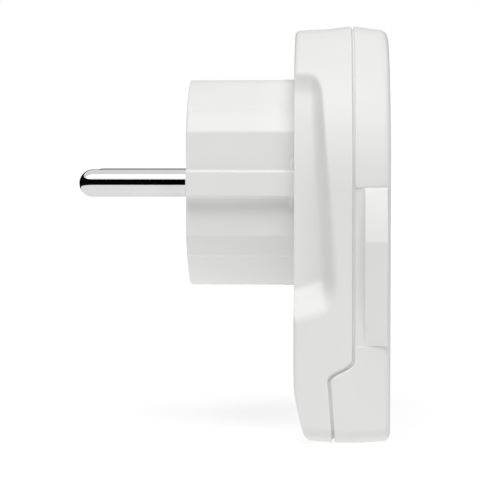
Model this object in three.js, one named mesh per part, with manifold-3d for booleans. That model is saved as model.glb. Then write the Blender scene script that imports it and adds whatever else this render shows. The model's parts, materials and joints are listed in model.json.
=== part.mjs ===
// A slim plug-in power meter: a round two-pin plug with side earth strips on the back, and on the
// front a matching socket well, a display and three buttons. The housing is a rear and a front shell.
//
// Frame, in millimetres: the origin is the centre of the plug's flat face, midway between the pins.
// +X runs along the plug's axis to the front of the meter, so the pins point to -X. +Z is up.
// Left and right are the meter's own: its left side is +Y, on the right as seen from the front.

import * as THREE from 'three';
import { LoftGeometry } from 'three/addons/geometries/LoftGeometry.js';
import { RoundedBoxGeometry } from 'three/addons/geometries/RoundedBoxGeometry.js';
import { mergeVertices } from 'three/addons/utils/BufferGeometryUtils.js';
import Module from 'manifold-3d';

const wasm = await Module();
wasm.setup();

// ---- Driving dimensions ----------------------------------------------------------------------

const GAP = 0.3; // clearance between two pieces that rest on each other

// Plug
const PIN_PITCH = 19;
const PIN_RADIUS = 2.4;
const PIN_LENGTH = 19;
const PLUG_RADIUS = 18.55;
const PLUG_CROWN_RADIUS = 18.25; // top and bottom of the plug, past the side shoulders
const PLUG_SHOULDER_Z = 12.4;
const PLUG_FLAT_Y = 16.3;
const PLUG_RIB_Y = 18.15;
const PLUG_RIB_HALF = 2.15;
const PLUG_EDGE = 0.4;
const PLUG_FACE = 1.6; // thickness of the plug's end wall
const PLUG_WALL = 2.05;
const EARTH_STRIP_WIDTH = 4.6;

// Housing
const REAR_X = 18.5;
const SEAM_X = 28.5;
const BOTTOM_SEAM_X = 25.3; // below the display the seam steps to the rear
const FRONT_X = 34.65;
const SEAM_RADIUS = 27.6; // round top and half width, where the two shells meet
const HOUSING_BOTTOM = -43.1;
const CORNER_RADIUS = 2.6;
const WALL = 2;
const THIN_REAR_WALL = 1.2; // round the plug, behind the socket insert
const SEAM_GAP = 0.44;
const SCREW_RADIUS = 1.1;
const SCREW_HEAD_RADIUS = 1.9;
const BOSS_RADIUS = 2.25;

// Finger pockets in the rear shell, and the grips on the front shell
const POCKET_FLOOR_Y = 21.8;
const POCKET_FLOOR_CURVE = 42.6; // above the plug's axis the pocket's floor curves in
const POCKET_WALL = 1;
const GRIP_WALL = 1.5;
const PAD_X = 26.8; // where the thick wall behind the pocket gives way to the one behind the grip
const GRIP_PROUD = 3.5;
const GRIP_TOP = -0.4;
const GRIP_BOTTOM = -26.7;
const GRIP_X0 = 28.9;
const GRIP_X1 = 34.2;
const GRIP_SEAT_Y = 26;

// Socket
const WELL_RADIUS = 19.6;
const WELL_WALL = 0.9;
const WELL_RIM_RADIUS = 22.1;
const WELL_RIM_DEPTH = 1.1;
const WELL_FLOOR_X = 21.8;
const WELL_BACK_X = REAR_X + THIN_REAR_WALL + GAP;
const SPIGOT_RADIUS = 15.6;
const SPIGOT_X = 18.5;
const PIN_HOLE_RADIUS = 2.8;

// Shutter
const SHUTTER_RADIUS = 12.2;
const SHUTTER_X0 = 16.7;
const SHUTTER_X1 = 18;
const SHUTTER_TURN = 36; // degrees from closed to open

// Display, buttons and board
const WINDOW_HALF_WIDTH = 16.9;
const WINDOW_TOP = -23.7;
const WINDOW_BOTTOM = -34.3;
const BUTTON_Z = -38;
const BUTTON_PITCH = 12.5;
const BUTTON_WIDTH = 8;
const BUTTON_HEIGHT = 3.4;
const BUTTON_BACK_X = 31.7;
const BUTTON_FRONT_X = 34.6;
const BOARD_X0 = 27.2;
const BOARD_X1 = 28.8;

const ARC_STEPS = 24;

// ---- Finishes --------------------------------------------------------------------------------

const FINISHES = {
  whitePlastic: { color: 0xf2f2ef, roughness: 0.42, metalness: 0 },
  nickel: { color: 0xd9d8d4, roughness: 0.14, metalness: 1 },
  brass: { color: 0xc9a55a, roughness: 0.3, metalness: 1 },
  springSteel: { color: 0x9a9c9e, roughness: 0.25, metalness: 1 },
  insulator: { color: 0x2b2c2e, roughness: 0.6, metalness: 0 },
  boardGreen: { color: 0x1d5a3a, roughness: 0.5, metalness: 0 },
  capacitorYellow: { color: 0xd9a520, roughness: 0.45, metalness: 0 },
  sleeveBlack: { color: 0x1c1c20, roughness: 0.4, metalness: 0 },
  glass: { color: 0x9aa593, roughness: 0.12, metalness: 0 },
  clearPlastic: { color: 0xdfe4e2, roughness: 0.08, metalness: 0 },
  rubber: { color: 0x8b8d90, roughness: 0.75, metalness: 0 },
  buttonGrey: { color: 0x7d8083, roughness: 0.5, metalness: 0 },
};

// ---- Geometry helpers ------------------------------------------------------------------------

const X_AXIS = new THREE.Vector3(1, 0, 0);
const Y_AXIS = new THREE.Vector3(0, 1, 0);
const Z_AXIS = new THREE.Vector3(0, 0, 1);

// A geometry as a solid that can be joined and cut.
function solid(geometry) {
  const bare = new THREE.BufferGeometry();
  bare.setAttribute('position', geometry.attributes.position);
  bare.setIndex(geometry.index);
  const merged = mergeVertices(bare, 1e-4);
  const triVerts = Uint32Array.from(merged.index.array);
  const vertProperties = Float32Array.from(merged.attributes.position.array);
  return new wasm.Manifold(new wasm.Mesh({ numProp: 3, vertProperties, triVerts }));
}

// A box between two opposite corners.
function box([x0, x1], [y0, y1], [z0, z1]) {
  const geometry = new THREE.BoxGeometry(x1 - x0, y1 - y0, z1 - z0);
  geometry.translate((x0 + x1) / 2, (y0 + y1) / 2, (z0 + z1) / 2);
  return solid(geometry);
}

// A box with rounded edges.
function roundedBox([x0, x1], [y0, y1], [z0, z1], radius) {
  const geometry = new RoundedBoxGeometry(x1 - x0, y1 - y0, z1 - z0, 1, radius);
  geometry.translate((x0 + x1) / 2, (y0 + y1) / 2, (z0 + z1) / 2);
  return solid(geometry);
}

// A round bar along X.
function rod(x0, x1, radius, y = 0, z = 0, steps = 24) {
  const geometry = new THREE.CylinderGeometry(radius, radius, x1 - x0, steps);
  geometry.rotateZ(-Math.PI / 2);
  geometry.translate((x0 + x1) / 2, y, z);
  return solid(geometry);
}

// A round bar along Y.
function crossRod(y0, y1, radius, x, z, steps = 20) {
  const geometry = new THREE.CylinderGeometry(radius, radius, Math.abs(y1 - y0), steps);
  geometry.translate(x, (y0 + y1) / 2, z);
  return solid(geometry);
}

// A profile of (x, radius) points turned round the X axis.
function turned(profile, steps = ARC_STEPS) {
  const points = profile.map(([x, radius]) => new THREE.Vector2(radius, x));
  const geometry = new THREE.LatheGeometry(points, steps);
  geometry.applyMatrix4(new THREE.Matrix4().makeBasis(Y_AXIS, X_AXIS, Z_AXIS.clone().negate()));
  return solid(geometry);
}

// A shape drawn in (y, z), pushed out along X.
function alongX(shape, x0, x1, options = {}) {
  const settings = { depth: x1 - x0, bevelEnabled: false, curveSegments: ARC_STEPS / 2, ...options };
  const geometry = new THREE.ExtrudeGeometry(shape, settings);
  geometry.applyMatrix4(new THREE.Matrix4().makeBasis(Y_AXIS, Z_AXIS, X_AXIS));
  geometry.translate(x0, 0, 0);
  return solid(geometry);
}

// An outline of (x, z) points, pushed out along Y.
function alongY(points, y0, y1) {
  const shape = new THREE.Shape(points.map(([x, z]) => new THREE.Vector2(x, z)));
  const geometry = new THREE.ExtrudeGeometry(shape, { depth: y1 - y0, bevelEnabled: false });
  const basis = new THREE.Matrix4().makeBasis(X_AXIS, Z_AXIS, Y_AXIS.clone().negate());
  geometry.applyMatrix4(basis);
  geometry.translate(0, y1, 0);
  return solid(geometry);
}

// An outline of (x, y) points, pushed out along Z.
function alongZ(points, z0, z1) {
  const shape = new THREE.Shape(points.map(([x, y]) => new THREE.Vector2(x, y)));
  const geometry = new THREE.ExtrudeGeometry(shape, { depth: z1 - z0, bevelEnabled: false });
  geometry.translate(0, 0, z0);
  return solid(geometry);
}

function joined(...pieces) {
  return pieces.reduce((whole, piece) => whole.add(piece));
}

function without(whole, ...cutters) {
  return cutters.reduce((rest, cutter) => rest.subtract(cutter), whole);
}

// The same piece on the other side of the XZ plane.
function mirrored(piece) {
  return piece.mirror([0, 1, 0]);
}

// A piece with its twin on the other side.
function pair(piece) {
  return piece.add(mirrored(piece));
}

const meter = new THREE.Group();

function place(name, body, finish) {
  const made = body.getMesh();
  const geometry = new THREE.BufferGeometry();
  geometry.setAttribute('position', new THREE.BufferAttribute(made.vertProperties, 3));
  geometry.setIndex(new THREE.BufferAttribute(made.triVerts, 1));
  geometry.computeVertexNormals();
  const mesh = new THREE.Mesh(geometry, new THREE.MeshStandardMaterial(FINISHES[finish]));
  mesh.name = name;
  meter.add(mesh);
}

// ---- Housing ---------------------------------------------------------------------------------

// The housing's outline from the front: a half circle over straight sides and a flat bottom.
function housingOutline(x, radius, bottom) {
  const corner = CORNER_RADIUS;
  const points = [];
  for (let step = 0; step <= ARC_STEPS; step += 1) {
    const angle = (Math.PI * step) / ARC_STEPS;
    points.push(new THREE.Vector3(x, radius * Math.cos(angle), radius * Math.sin(angle)));
  }
  for (const side of [-1, 1]) {
    const start = side < 0 ? Math.PI : 1.5 * Math.PI;
    for (let step = 0; step <= 5; step += 1) {
      const angle = start + (Math.PI / 2) * (step / 5);
      const y = side * (radius - corner) + corner * Math.cos(angle);
      const z = bottom + corner + corner * Math.sin(angle);
      points.push(new THREE.Vector3(x, y, z));
    }
  }
  return points;
}

// The housing's sides lean in from the seam to both faces, its bottom leans less, and its edges are
// rounded over. Each row is a place along X, how far the sides are drawn in, and the bottom raised.
const HOUSING_SECTIONS = [
  [REAR_X, 1.65, 1.25],
  [REAR_X + 0.25, 1.1, 0.7],
  [REAR_X + 0.9, 0.78, 0.35],
  [BOTTOM_SEAM_X, 0.27, 0],
  [SEAM_X, 0, 0],
  [FRONT_X - 1.3, 0.62, 0.25],
  [FRONT_X - 0.4, 1.05, 0.65],
  [FRONT_X, 1.9, 1.5],
];

function housingBlock(inset) {
  const sections = HOUSING_SECTIONS.map(([x, drawn, raised]) =>
    housingOutline(x, SEAM_RADIUS - drawn - inset, HOUSING_BOTTOM + raised + inset),
  );
  return solid(new LoftGeometry(sections, { capStart: true, capEnd: true }));
}

// The seam seen from the side: straight down, then a step to the rear, then down to the bottom.
const SEAM_PATH = [
  [SEAM_X, 32],
  [SEAM_X, -29.2],
  [SEAM_X - 0.6, -30.2],
  [25, -31.7],
  [24.4, -32.8],
  [BOTTOM_SEAM_X - 0.2, -41.2],
  [BOTTOM_SEAM_X, -46],
];

// All of the housing's width on the rear side of the seam, moved by (dx, dz).
function rearOfSeam(dx, dz) {
  const edge = SEAM_PATH.map(([x, z]) => [x + dx, z + dz]);
  return alongY([...edge, [10, -46], [10, 32]], -40, 40);
}

function frontOfSeam(dx, dz) {
  const edge = SEAM_PATH.map(([x, z]) => [x + dx, z + dz]);
  return alongY([[45, 32], ...edge, [45, -46]].reverse(), -40, 40);
}

// Each screw's head stands on seatX; the lower two sit deeper, because the rear face leans there.
const SCREW_SPOTS = [
  { name: 'top_left', y: 14.5, z: 18.5, seatX: 20.1, rearTop: SEAM_X - 1, frontBack: SEAM_X - 0.6 },
  { name: 'top_right', y: -14.5, z: 18.5, seatX: 20.1, rearTop: SEAM_X - 1, frontBack: SEAM_X - 0.6 },
  { name: 'bottom_left', y: 20.9, z: -38, seatX: 21.4, rearTop: 24, frontBack: 24.5 },
  { name: 'bottom_right', y: -20.9, z: -38, seatX: 21.4, rearTop: 24, frontBack: 24.5 },
];
const SCREW_TIP_X = 31;
const SCREW_HEAD = 1.3;

// How far out the finger pocket's floor is at the height z.
function pocketFloorY(z) {
  const rise = Math.max(z, 0);
  return POCKET_FLOOR_Y - POCKET_FLOOR_CURVE + Math.sqrt(POCKET_FLOOR_CURVE ** 2 - rise ** 2);
}

// Everything beyond the pocket's floor, from bottom to top and from x0 to x1.
function beyondPocketFloor(inset, bottom, top, x0, x1) {
  const steps = 14;
  const points = [new THREE.Vector2(40, bottom)];
  for (let step = 0; step <= steps; step += 1) {
    const z = Math.max(bottom, (top * step) / steps);
    points.push(new THREE.Vector2(pocketFloorY(z) - inset, step === 0 ? bottom : z));
  }
  points.push(new THREE.Vector2(40, top));
  return alongX(new THREE.Shape(points.reverse()), x0, x1);
}

// The room inside both shells.
function housingRoom() {
  const walls = box([REAR_X + WALL, FRONT_X - WALL], [-40, 40], [-50, 40]);
  const pocketPad = beyondPocketFloor(POCKET_WALL, -23.6, 20.6, 10, PAD_X);
  const gripPad = box([PAD_X, 40], [GRIP_SEAT_Y - GRIP_WALL, 40], [GRIP_BOTTOM - 1.6, GRIP_TOP + 1.6]);
  const room = housingBlock(WALL).intersect(walls);
  return without(room, pair(pocketPad), pair(gripPad), rearSlant(WALL));
}

// The lowest part of the rear face leans forward, towards the bottom edge.
function rearSlant(inset) {
  const line = [
    [5, -34.7],
    [18.6 + inset, -34.7],
    [20.3 + inset, -42.5],
    [22.4 + inset, -44.6],
    [5, -44.6],
  ];
  return alongY(line.reverse(), -40, 40);
}

// One finger pocket, open to the rear: sloped top, bottom and front walls and a curved floor.
function fingerPocket() {
  const rim = [
    [15, 19.3],
    [20.6, 18.6],
    [22.9, 17.4],
    [23.9, 14],
    [25.6, -14],
    [25.2, -18.4],
    [23.4, -20],
    [15, -22.9],
  ];
  const floor = [
    [15, 16.6],
    [19.2, 15.9],
    [20.9, 14.8],
    [21.9, 12.2],
    [23.6, -12.6],
    [23.3, -15.6],
    [21.9, -17.4],
    [15, -19.7],
  ];
  const surface = SEAM_RADIUS - 0.4;
  const foot = floor.map(([x, z]) => new THREE.Vector3(x, pocketFloorY(z), z));
  const edge = rim.map(([x, z]) => new THREE.Vector3(x, Math.sqrt(surface ** 2 - Math.max(z, 0) ** 2), z));
  const section = (t) => foot.map((point, i) => point.clone().lerp(edge[i], t));
  // The walls run on past both ends: the curved floor ends them below, and the outside above.
  const outside = section(1.35).map((point) => point.setY(40));
  const sections = [section(-0.3), section(1.35), outside];
  const walls = solid(new LoftGeometry(sections, { capStart: true, capEnd: true }));
  return walls.intersect(beyondPocketFloor(0, -28, 24, 10, 30));
}

function makeRearShell() {
  const lipInset = 1.1;
  const gripZone = pair(box([27, 36], [23.4, 40], [GRIP_BOTTOM - 1.9, GRIP_TOP + 1.9]));
  const lip = housingBlock(lipInset).intersect(rearOfSeam(1.3, -1)).subtract(gripZone);
  const shellBlock = housingBlock(0).intersect(rearOfSeam(-SEAM_GAP / 2, 0.15)).add(lip);
  const thinned = rod(REAR_X + THIN_REAR_WALL, 22, WELL_RADIUS + WELL_WALL + GAP, 0, 0, 2 * ARC_STEPS);
  const plugOpening = rod(REAR_X - 1, 22, 17.2, 0, 0, 2 * ARC_STEPS);
  const barChannel = box([REAR_X + THIN_REAR_WALL, 22], [-6.6, 6.6], [-24, -15]);
  let shell = without(shellBlock, housingRoom(), rearSlant(0), thinned, plugOpening, barChannel);
  for (const spot of SCREW_SPOTS) {
    const boss = rod(spot.seatX - 0.5, spot.rearTop, BOSS_RADIUS, spot.y, spot.z);
    const collar = rod(REAR_X, spot.seatX + WALL, SCREW_HEAD_RADIUS + 3 * GAP, spot.y, spot.z);
    shell = shell.add(joined(boss, collar).intersect(housingBlock(0.5)).subtract(rearSlant(0)));
    shell = shell.subtract(rod(10, spot.seatX + GAP, SCREW_HEAD_RADIUS + GAP, spot.y, spot.z));
    shell = shell.subtract(rod(10, 40, SCREW_RADIUS + GAP, spot.y, spot.z));
  }
  const wellClearance = rod(WELL_BACK_X - GAP, 40, WELL_RADIUS + WELL_WALL + GAP, 0, 0, 2 * ARC_STEPS);
  const pocket = fingerPocket();
  shell = without(shell, wellClearance, pair(pocket));
  place('rear_shell', shell, 'whitePlastic');
}

function roundedRectangle(halfWidth, bottom, top, radius) {
  const shape = new THREE.Shape();
  shape.moveTo(-halfWidth + radius, bottom);
  shape.lineTo(halfWidth - radius, bottom);
  shape.absarc(halfWidth - radius, bottom + radius, radius, -Math.PI / 2, 0);
  shape.lineTo(halfWidth, top - radius);
  shape.absarc(halfWidth - radius, top - radius, radius, 0, Math.PI / 2);
  shape.lineTo(-halfWidth + radius, top);
  shape.absarc(-halfWidth + radius, top - radius, radius, Math.PI / 2, Math.PI);
  shape.lineTo(-halfWidth, bottom + radius);
  shape.absarc(-halfWidth + radius, bottom + radius, radius, Math.PI, 1.5 * Math.PI);
  return shape;
}

const SMALL_CORNER = { curveSegments: 5 };

// A plate with rounded corners, centred on y, across the housing.
function plate(halfWidth, bottom, top, radius, x0, x1, y = 0) {
  const made = alongX(roundedRectangle(halfWidth, bottom, top, radius), x0, x1, SMALL_CORNER);
  return made.translate([0, y, 0]);
}

const GRIP_PEG_Z = [-6, -20];
const GRIP_PEG_X = 31.6;

function makeFrontShell() {
  const rebateInset = 0.8;
  const gripZone = pair(box([27, 36], [23.1, 40], [GRIP_BOTTOM - 1.6, GRIP_TOP + 1.6]));
  const rebate = housingBlock(rebateInset).intersect(rearOfSeam(1.6, -1.4)).subtract(gripZone);
  const shellBlock = housingBlock(0).intersect(frontOfSeam(SEAM_GAP / 2, -0.15)).subtract(rebate);
  const wellOpening = rod(20, 40, WELL_RADIUS + WELL_WALL + GAP, 0, 0, 2 * ARC_STEPS);
  const rimSeat = rod(FRONT_X - WELL_RIM_DEPTH - GAP, 40, WELL_RIM_RADIUS + GAP, 0, 0, 2 * ARC_STEPS);
  const windowSeat = plate(WINDOW_HALF_WIDTH + GAP, WINDOW_BOTTOM - GAP, WINDOW_TOP + GAP, 1, 33.5, 40);
  const windowHole = plate(WINDOW_HALF_WIDTH - 1.2, WINDOW_BOTTOM + 1, WINDOW_TOP - 0.8, 0.6, 30, 40);
  let shell = without(shellBlock, housingRoom());
  for (const spot of SCREW_SPOTS) {
    const boss = rod(spot.frontBack, FRONT_X - WALL + 0.2, BOSS_RADIUS, spot.y, spot.z);
    shell = shell.add(boss.intersect(housingBlock(WALL + GAP)));
    shell = shell.subtract(rod(20, SCREW_TIP_X + GAP, SCREW_RADIUS + GAP, spot.y, spot.z));
  }
  for (const side of [-1, 0, 1]) {
    const y = side * BUTTON_PITCH;
    const halfHeight = BUTTON_HEIGHT / 2 + GAP;
    const hole = plate(BUTTON_WIDTH / 2 + GAP, BUTTON_Z - halfHeight, BUTTON_Z + halfHeight, 1.2, 30, 40, y);
    shell = shell.subtract(hole);
  }
  const seatX = [GRIP_X0 - GAP, GRIP_X1 + GAP];
  const seatZ = [GRIP_BOTTOM - GAP, GRIP_TOP + GAP];
  const gripSeat = box(seatX, [GRIP_SEAT_Y - GAP, 40], seatZ);
  const pegHoles = GRIP_PEG_Z.map((z) => crossRod(20, 30, 1 + GAP, GRIP_PEG_X, z));
  shell = without(shell, pair(gripSeat), pair(joined(...pegHoles)));
  shell = without(shell, wellOpening, rimSeat, windowSeat, windowHole);
  place('front_shell', shell, 'whitePlastic');
}

// A side grip: a thin panel let into the shell, with a wedge on it that is steep above its crest
// and falls away below it, and two pegs through the shell's wall.
function makeSideGrips() {
  const surface = SEAM_RADIUS - 0.35;
  const crestZ = -9.35;
  const crestY = SEAM_RADIUS - 0.35 + GRIP_PROUD;
  const panel = box([GRIP_X0, GRIP_X1], [GRIP_SEAT_Y, surface], [GRIP_BOTTOM, GRIP_TOP]);
  const wedgeX0 = 30.3;
  const front = GRIP_X1 - 0.1;
  const profile = [
    [-26.3, surface - 0.5],
    [-26.3, surface + 0.05],
    [crestZ, crestY],
    [-6, surface + 2.54],
    [-3.3, surface + 1.5],
    [-0.6, surface + 0.22],
    [-0.6, surface - 0.5],
  ];
  const section = (x) => profile.map(([z, y]) => new THREE.Vector3(x, y, z));
  const wedge = solid(new LoftGeometry([section(wedgeX0), section(front)], { capStart: true, capEnd: true }));
  const pegs = GRIP_PEG_Z.map((z) => crossRod(GRIP_SEAT_Y - 1.9, GRIP_SEAT_Y + 0.5, 1, GRIP_PEG_X, z));
  const grip = joined(panel, wedge, ...pegs);
  place('side_grip_left', grip, 'whitePlastic');
  place('side_grip_right', mirrored(grip), 'whitePlastic');
}

function makeScrews() {
  for (const spot of SCREW_SPOTS) {
    const top = spot.seatX - SCREW_HEAD;
    const profile = [
      [top, 0],
      [top, SCREW_HEAD_RADIUS - 0.35],
      [top + 0.4, SCREW_HEAD_RADIUS],
      [spot.seatX, SCREW_HEAD_RADIUS],
      [spot.seatX, SCREW_RADIUS],
      [SCREW_TIP_X - 1, SCREW_RADIUS],
      [SCREW_TIP_X, SCREW_RADIUS * 0.4],
      [SCREW_TIP_X, 0],
    ];
    const blade = 0.35;
    const slotX = [top - 1, top + 0.7];
    const drive = box(slotX, [-1.3, 1.3], [-blade, blade]).add(box(slotX, [-blade, blade], [-1.3, 1.3]));
    const screw = turned(profile, 16).subtract(drive).translate([0, spot.y, spot.z]);
    place(`screw_${spot.name}`, screw, 'springSteel');
  }
}

// ---- Plug ------------------------------------------------------------------------------------

// The plug's outline: a circle with a flat on each side, a keying rib in the middle of each flat,
// and a small step down where the crown at the top and bottom begins.
function plugOutline() {
  const flatAngle = Math.acos(PLUG_FLAT_Y / PLUG_RADIUS);
  const shoulderAngle = Math.asin(PLUG_SHOULDER_Z / PLUG_RADIUS);
  const crownAngle = Math.asin(PLUG_SHOULDER_Z / PLUG_CROWN_RADIUS);
  const shape = new THREE.Shape();
  shape.moveTo(PLUG_FLAT_Y, PLUG_RIB_HALF);
  for (const side of [1, -1]) {
    const half = side > 0 ? 0 : Math.PI;
    shape.absarc(0, 0, PLUG_RADIUS, half + flatAngle, half + shoulderAngle);
    shape.absarc(0, 0, PLUG_CROWN_RADIUS, half + crownAngle, half + Math.PI - crownAngle);
    shape.absarc(0, 0, PLUG_RADIUS, half + Math.PI - shoulderAngle, half + Math.PI - flatAngle);
    shape.lineTo(-side * PLUG_FLAT_Y, side * PLUG_RIB_HALF);
    shape.lineTo(-side * PLUG_RIB_Y, side * PLUG_RIB_HALF);
    shape.lineTo(-side * PLUG_RIB_Y, -side * PLUG_RIB_HALF);
    shape.lineTo(-side * PLUG_FLAT_Y, -side * PLUG_RIB_HALF);
  }
  return shape;
}

const PLUG_END_X = REAR_X - GAP;
const BAR_HALF_PITCH = 4.5;
const BAR_WIDTH = 3;

function makePlugBody() {
  const rounding = turned(
    [
      [0, 0],
      [0, PLUG_RADIUS - PLUG_EDGE],
      [PLUG_EDGE * 0.3, PLUG_RADIUS - PLUG_EDGE * 0.3],
      [PLUG_EDGE, PLUG_RADIUS + 0.1],
      [PLUG_END_X, PLUG_RADIUS + 0.1],
      [PLUG_END_X, 0],
    ],
    2 * ARC_STEPS,
  );
  const block = alongX(plugOutline(), 0, PLUG_END_X, { curveSegments: 12 }).intersect(rounding);
  const roomX = [PLUG_FACE, 30];
  const roomRadius = PLUG_RADIUS - PLUG_WALL - 0.3;
  const innerFlat = PLUG_FLAT_Y - PLUG_WALL + 0.35;
  const room = rod(...roomX, roomRadius, 0, 0, 2 * ARC_STEPS).intersect(
    box(roomX, [-innerFlat, innerFlat], [-30, 30]),
  );
  const sleeve = rod(PLUG_END_X - 1, WELL_BACK_X - GAP, 16.9, 0, 0, 2 * ARC_STEPS);
  const sleeveRoom = rod(PLUG_END_X, 30, 15.9, 0, 0, 2 * ARC_STEPS);
  const strip = EARTH_STRIP_WIDTH / 2 + GAP;
  const stripSlot = box([-1, 16.4], [-strip, strip], [16.9, 30]);
  const stripDoor = box([14.9, 16.4], [-strip, strip], [14, 30]);
  const slots = joined(stripSlot, stripDoor);
  const barPassage = box([PLUG_END_X, 30], [-6.6, 6.6], [-18, -13.2]);
  let body = without(block.add(sleeve), room, sleeveRoom, slots, slots.mirror([0, 0, 1]), barPassage);
  for (const side of [-1, 1]) {
    body = body.subtract(rod(-1, PLUG_FACE + 1, PIN_RADIUS + GAP, (side * PIN_PITCH) / 2, 0));
  }
  place('plug_body', body, 'whitePlastic');
}

const BRIDGE_X0 = PLUG_FACE + GAP;
const BRIDGE_X1 = 4.6;
const SHANK_RADIUS = 1.8;

// The round contact pins, with domed tips and a thinner shank through the bridge behind the face.
function makePins() {
  const tip = [];
  const tipSteps = 7;
  for (let step = 0; step <= tipSteps; step += 1) {
    const angle = (Math.PI / 2) * (step / tipSteps);
    tip.push([-PIN_LENGTH + PIN_RADIUS * (1 - Math.cos(angle)), PIN_RADIUS * Math.sin(angle)]);
  }
  const profile = [...tip, [PLUG_FACE, PIN_RADIUS], [PLUG_FACE, SHANK_RADIUS], [6, SHANK_RADIUS], [6, 0]];
  const pin = turned(profile, 28);
  place('live_pin', pin.translate([0, PIN_PITCH / 2, 0]), 'nickel');
  place('neutral_pin', pin.translate([0, -PIN_PITCH / 2, 0]), 'nickel');
  let bridge = roundedBox([BRIDGE_X0, BRIDGE_X1], [-13.6, 13.6], [-4, 4], 0.5);
  for (const side of [-1, 1]) {
    bridge = bridge.subtract(rod(0, 10, SHANK_RADIUS + GAP, (side * PIN_PITCH) / 2, 0));
  }
  place('pin_bridge', bridge, 'insulator');
}

// The earth strips lie in slots on the plug's top and bottom, and turn in to meet the earth ring.
function makePlugEarthStrips() {
  const outerZ = 18;
  const half = EARTH_STRIP_WIDTH / 2;
  const path = [
    [0.9, outerZ - 0.9],
    [1.6, outerZ],
    [16.1, outerZ],
    [16.1, 14.5],
    [15.3, 14.5],
    [15.3, outerZ - 0.8],
    [1.6, outerZ - 0.8],
  ];
  const strip = alongY(path.reverse(), -half, half);
  place('plug_earth_top', strip, 'nickel');
  place('plug_earth_bottom', strip.mirror([0, 0, 1]), 'nickel');
  const outline = rod(6.4, 7.2, 15.6, 0, 0, 2 * ARC_STEPS).intersect(box([6, 8], [-14.2, 14.2], [-20, 20]));
  const window = rod(6, 8, 13.9, 0, 0, 2 * ARC_STEPS).intersect(box([5, 9], [-11.8, 11.8], [-20, 20]));
  const barNotch = box([6, 8], [-6.5, 6.5], [-20, -13]);
  const tab = box([6.4, 15], [-1.6, 1.6], [14.2, 14.8]);
  place('earth_ring', outline.subtract(window).subtract(barNotch).add(tab), 'brass');
}

// ---- Contacts and shutter --------------------------------------------------------------------

const BLOCK_X0 = 7.5;
const BLOCK_X1 = SPIGOT_X - GAP;
const BLOCK_RADIUS = 13.7;
const SLEEVE_X0 = 5.9;
const SLEEVE_X1 = 14.2;
const SLEEVE_RADIUS = 3.3;
const EARTH_TAIL_Y = 12.95;
const SPRING_X = 15.7;

// The insulating block behind the well's floor: it holds both contact sleeves and the shutter.
function makeContactBlock() {
  let block = rod(BLOCK_X0, BLOCK_X1, BLOCK_RADIUS, 0, 0, 2 * ARC_STEPS);
  block = block.subtract(rod(SPRING_X - 0.7, 30, SHUTTER_RADIUS + GAP, 0, 0, 2 * ARC_STEPS));
  block = block.add(rod(14, SHUTTER_X1, 1.5));
  for (const side of [-1, 1]) {
    block = block.subtract(rod(5, 20, SLEEVE_RADIUS + GAP, 0, (side * PIN_PITCH) / 2));
  }
  block = block.subtract(pair(box([5, 20], [EARTH_TAIL_Y - 0.6, BLOCK_RADIUS + 1], [-2.6, 2.6])));
  place('contact_block', block, 'insulator');
}

// A slit sleeve that grips one pin of the plug above, joined to a flat ring at its rear end.
function contactSleeve(z) {
  const tube = rod(SLEEVE_X0, SLEEVE_X1, SLEEVE_RADIUS, 0, z).subtract(rod(0, 20, 2.55, 0, z));
  const outward = Math.sign(z);
  const slitZ = [Math.min(z, z + outward * 5), Math.max(z, z + outward * 5)];
  return tube.subtract(box([8, 20], [-0.5, 0.5], slitZ));
}

const STRAP_X0 = 5;
const STRAP_X1 = 5.6;

// A flat arm between two points of the (y, z) plane.
function strapArm([y0, z0], [y1, z1], width) {
  const length = Math.hypot(y1 - y0, z1 - z0);
  const geometry = new THREE.BoxGeometry(STRAP_X1 - STRAP_X0, length, width);
  geometry.rotateX(Math.atan2(z1 - z0, y1 - y0));
  geometry.translate((STRAP_X0 + STRAP_X1) / 2, (y0 + y1) / 2, (z0 + z1) / 2);
  return solid(geometry);
}

// A bar from the plug, through the channel under the well's floor, down behind the board.
function boardBar(y) {
  const nearZ = -14.1;
  const farZ = -22.7;
  const channelX = 20.1;
  const thick = 0.6;
  const outline = [
    [STRAP_X0, nearZ - thick],
    [channelX, nearZ - thick],
    [channelX, farZ - thick],
    [BOARD_X0 - GAP, farZ - thick],
    [BOARD_X0 - GAP, farZ],
    [channelX + thick, farZ],
    [channelX + thick, nearZ],
    [STRAP_X0, nearZ],
  ];
  return alongY(outline, y - BAR_WIDTH / 2, y + BAR_WIDTH / 2);
}

function makeConductors() {
  const half = PIN_PITCH / 2;
  const pinEye = (y) => rod(STRAP_X0, STRAP_X1, 3.6, y, 0);
  const pinHole = (y) => rod(0, 10, SHANK_RADIUS + GAP, y, 0);
  const plugPath = (z) => rod(0, 10, 2.9, 0, z);
  const sleeveEye = (z) => rod(STRAP_X0, STRAP_X1, 4, 0, z);
  const neutral = without(
    joined(pinEye(-half), strapArm([-half, 0], [0, half], 3), sleeveEye(half)),
    pinHole(-half),
    plugPath(half),
  );
  place('neutral_strap', neutral, 'brass');
  const liveIn = without(
    joined(
      pinEye(half),
      strapArm([half, 0], [BAR_HALF_PITCH + 2.2, -12], 3),
      strapArm([BAR_HALF_PITCH + 2, -11.4], [BAR_HALF_PITCH + 0.2, -13.9], 2.4),
      boardBar(BAR_HALF_PITCH),
    ),
    pinHole(half),
  );
  place('live_in_bar', liveIn, 'brass');
  const liveOut = without(
    joined(
      sleeveEye(-half),
      strapArm([-2.6, -half - 1.6], [-BAR_HALF_PITCH, -13.9], 2.4),
      boardBar(-BAR_HALF_PITCH),
    ),
    plugPath(-half),
  );
  place('live_out_bar', liveOut, 'brass');
  place('neutral_contact', contactSleeve(half), 'brass');
  place('live_contact', contactSleeve(-half), 'brass');
}

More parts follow.
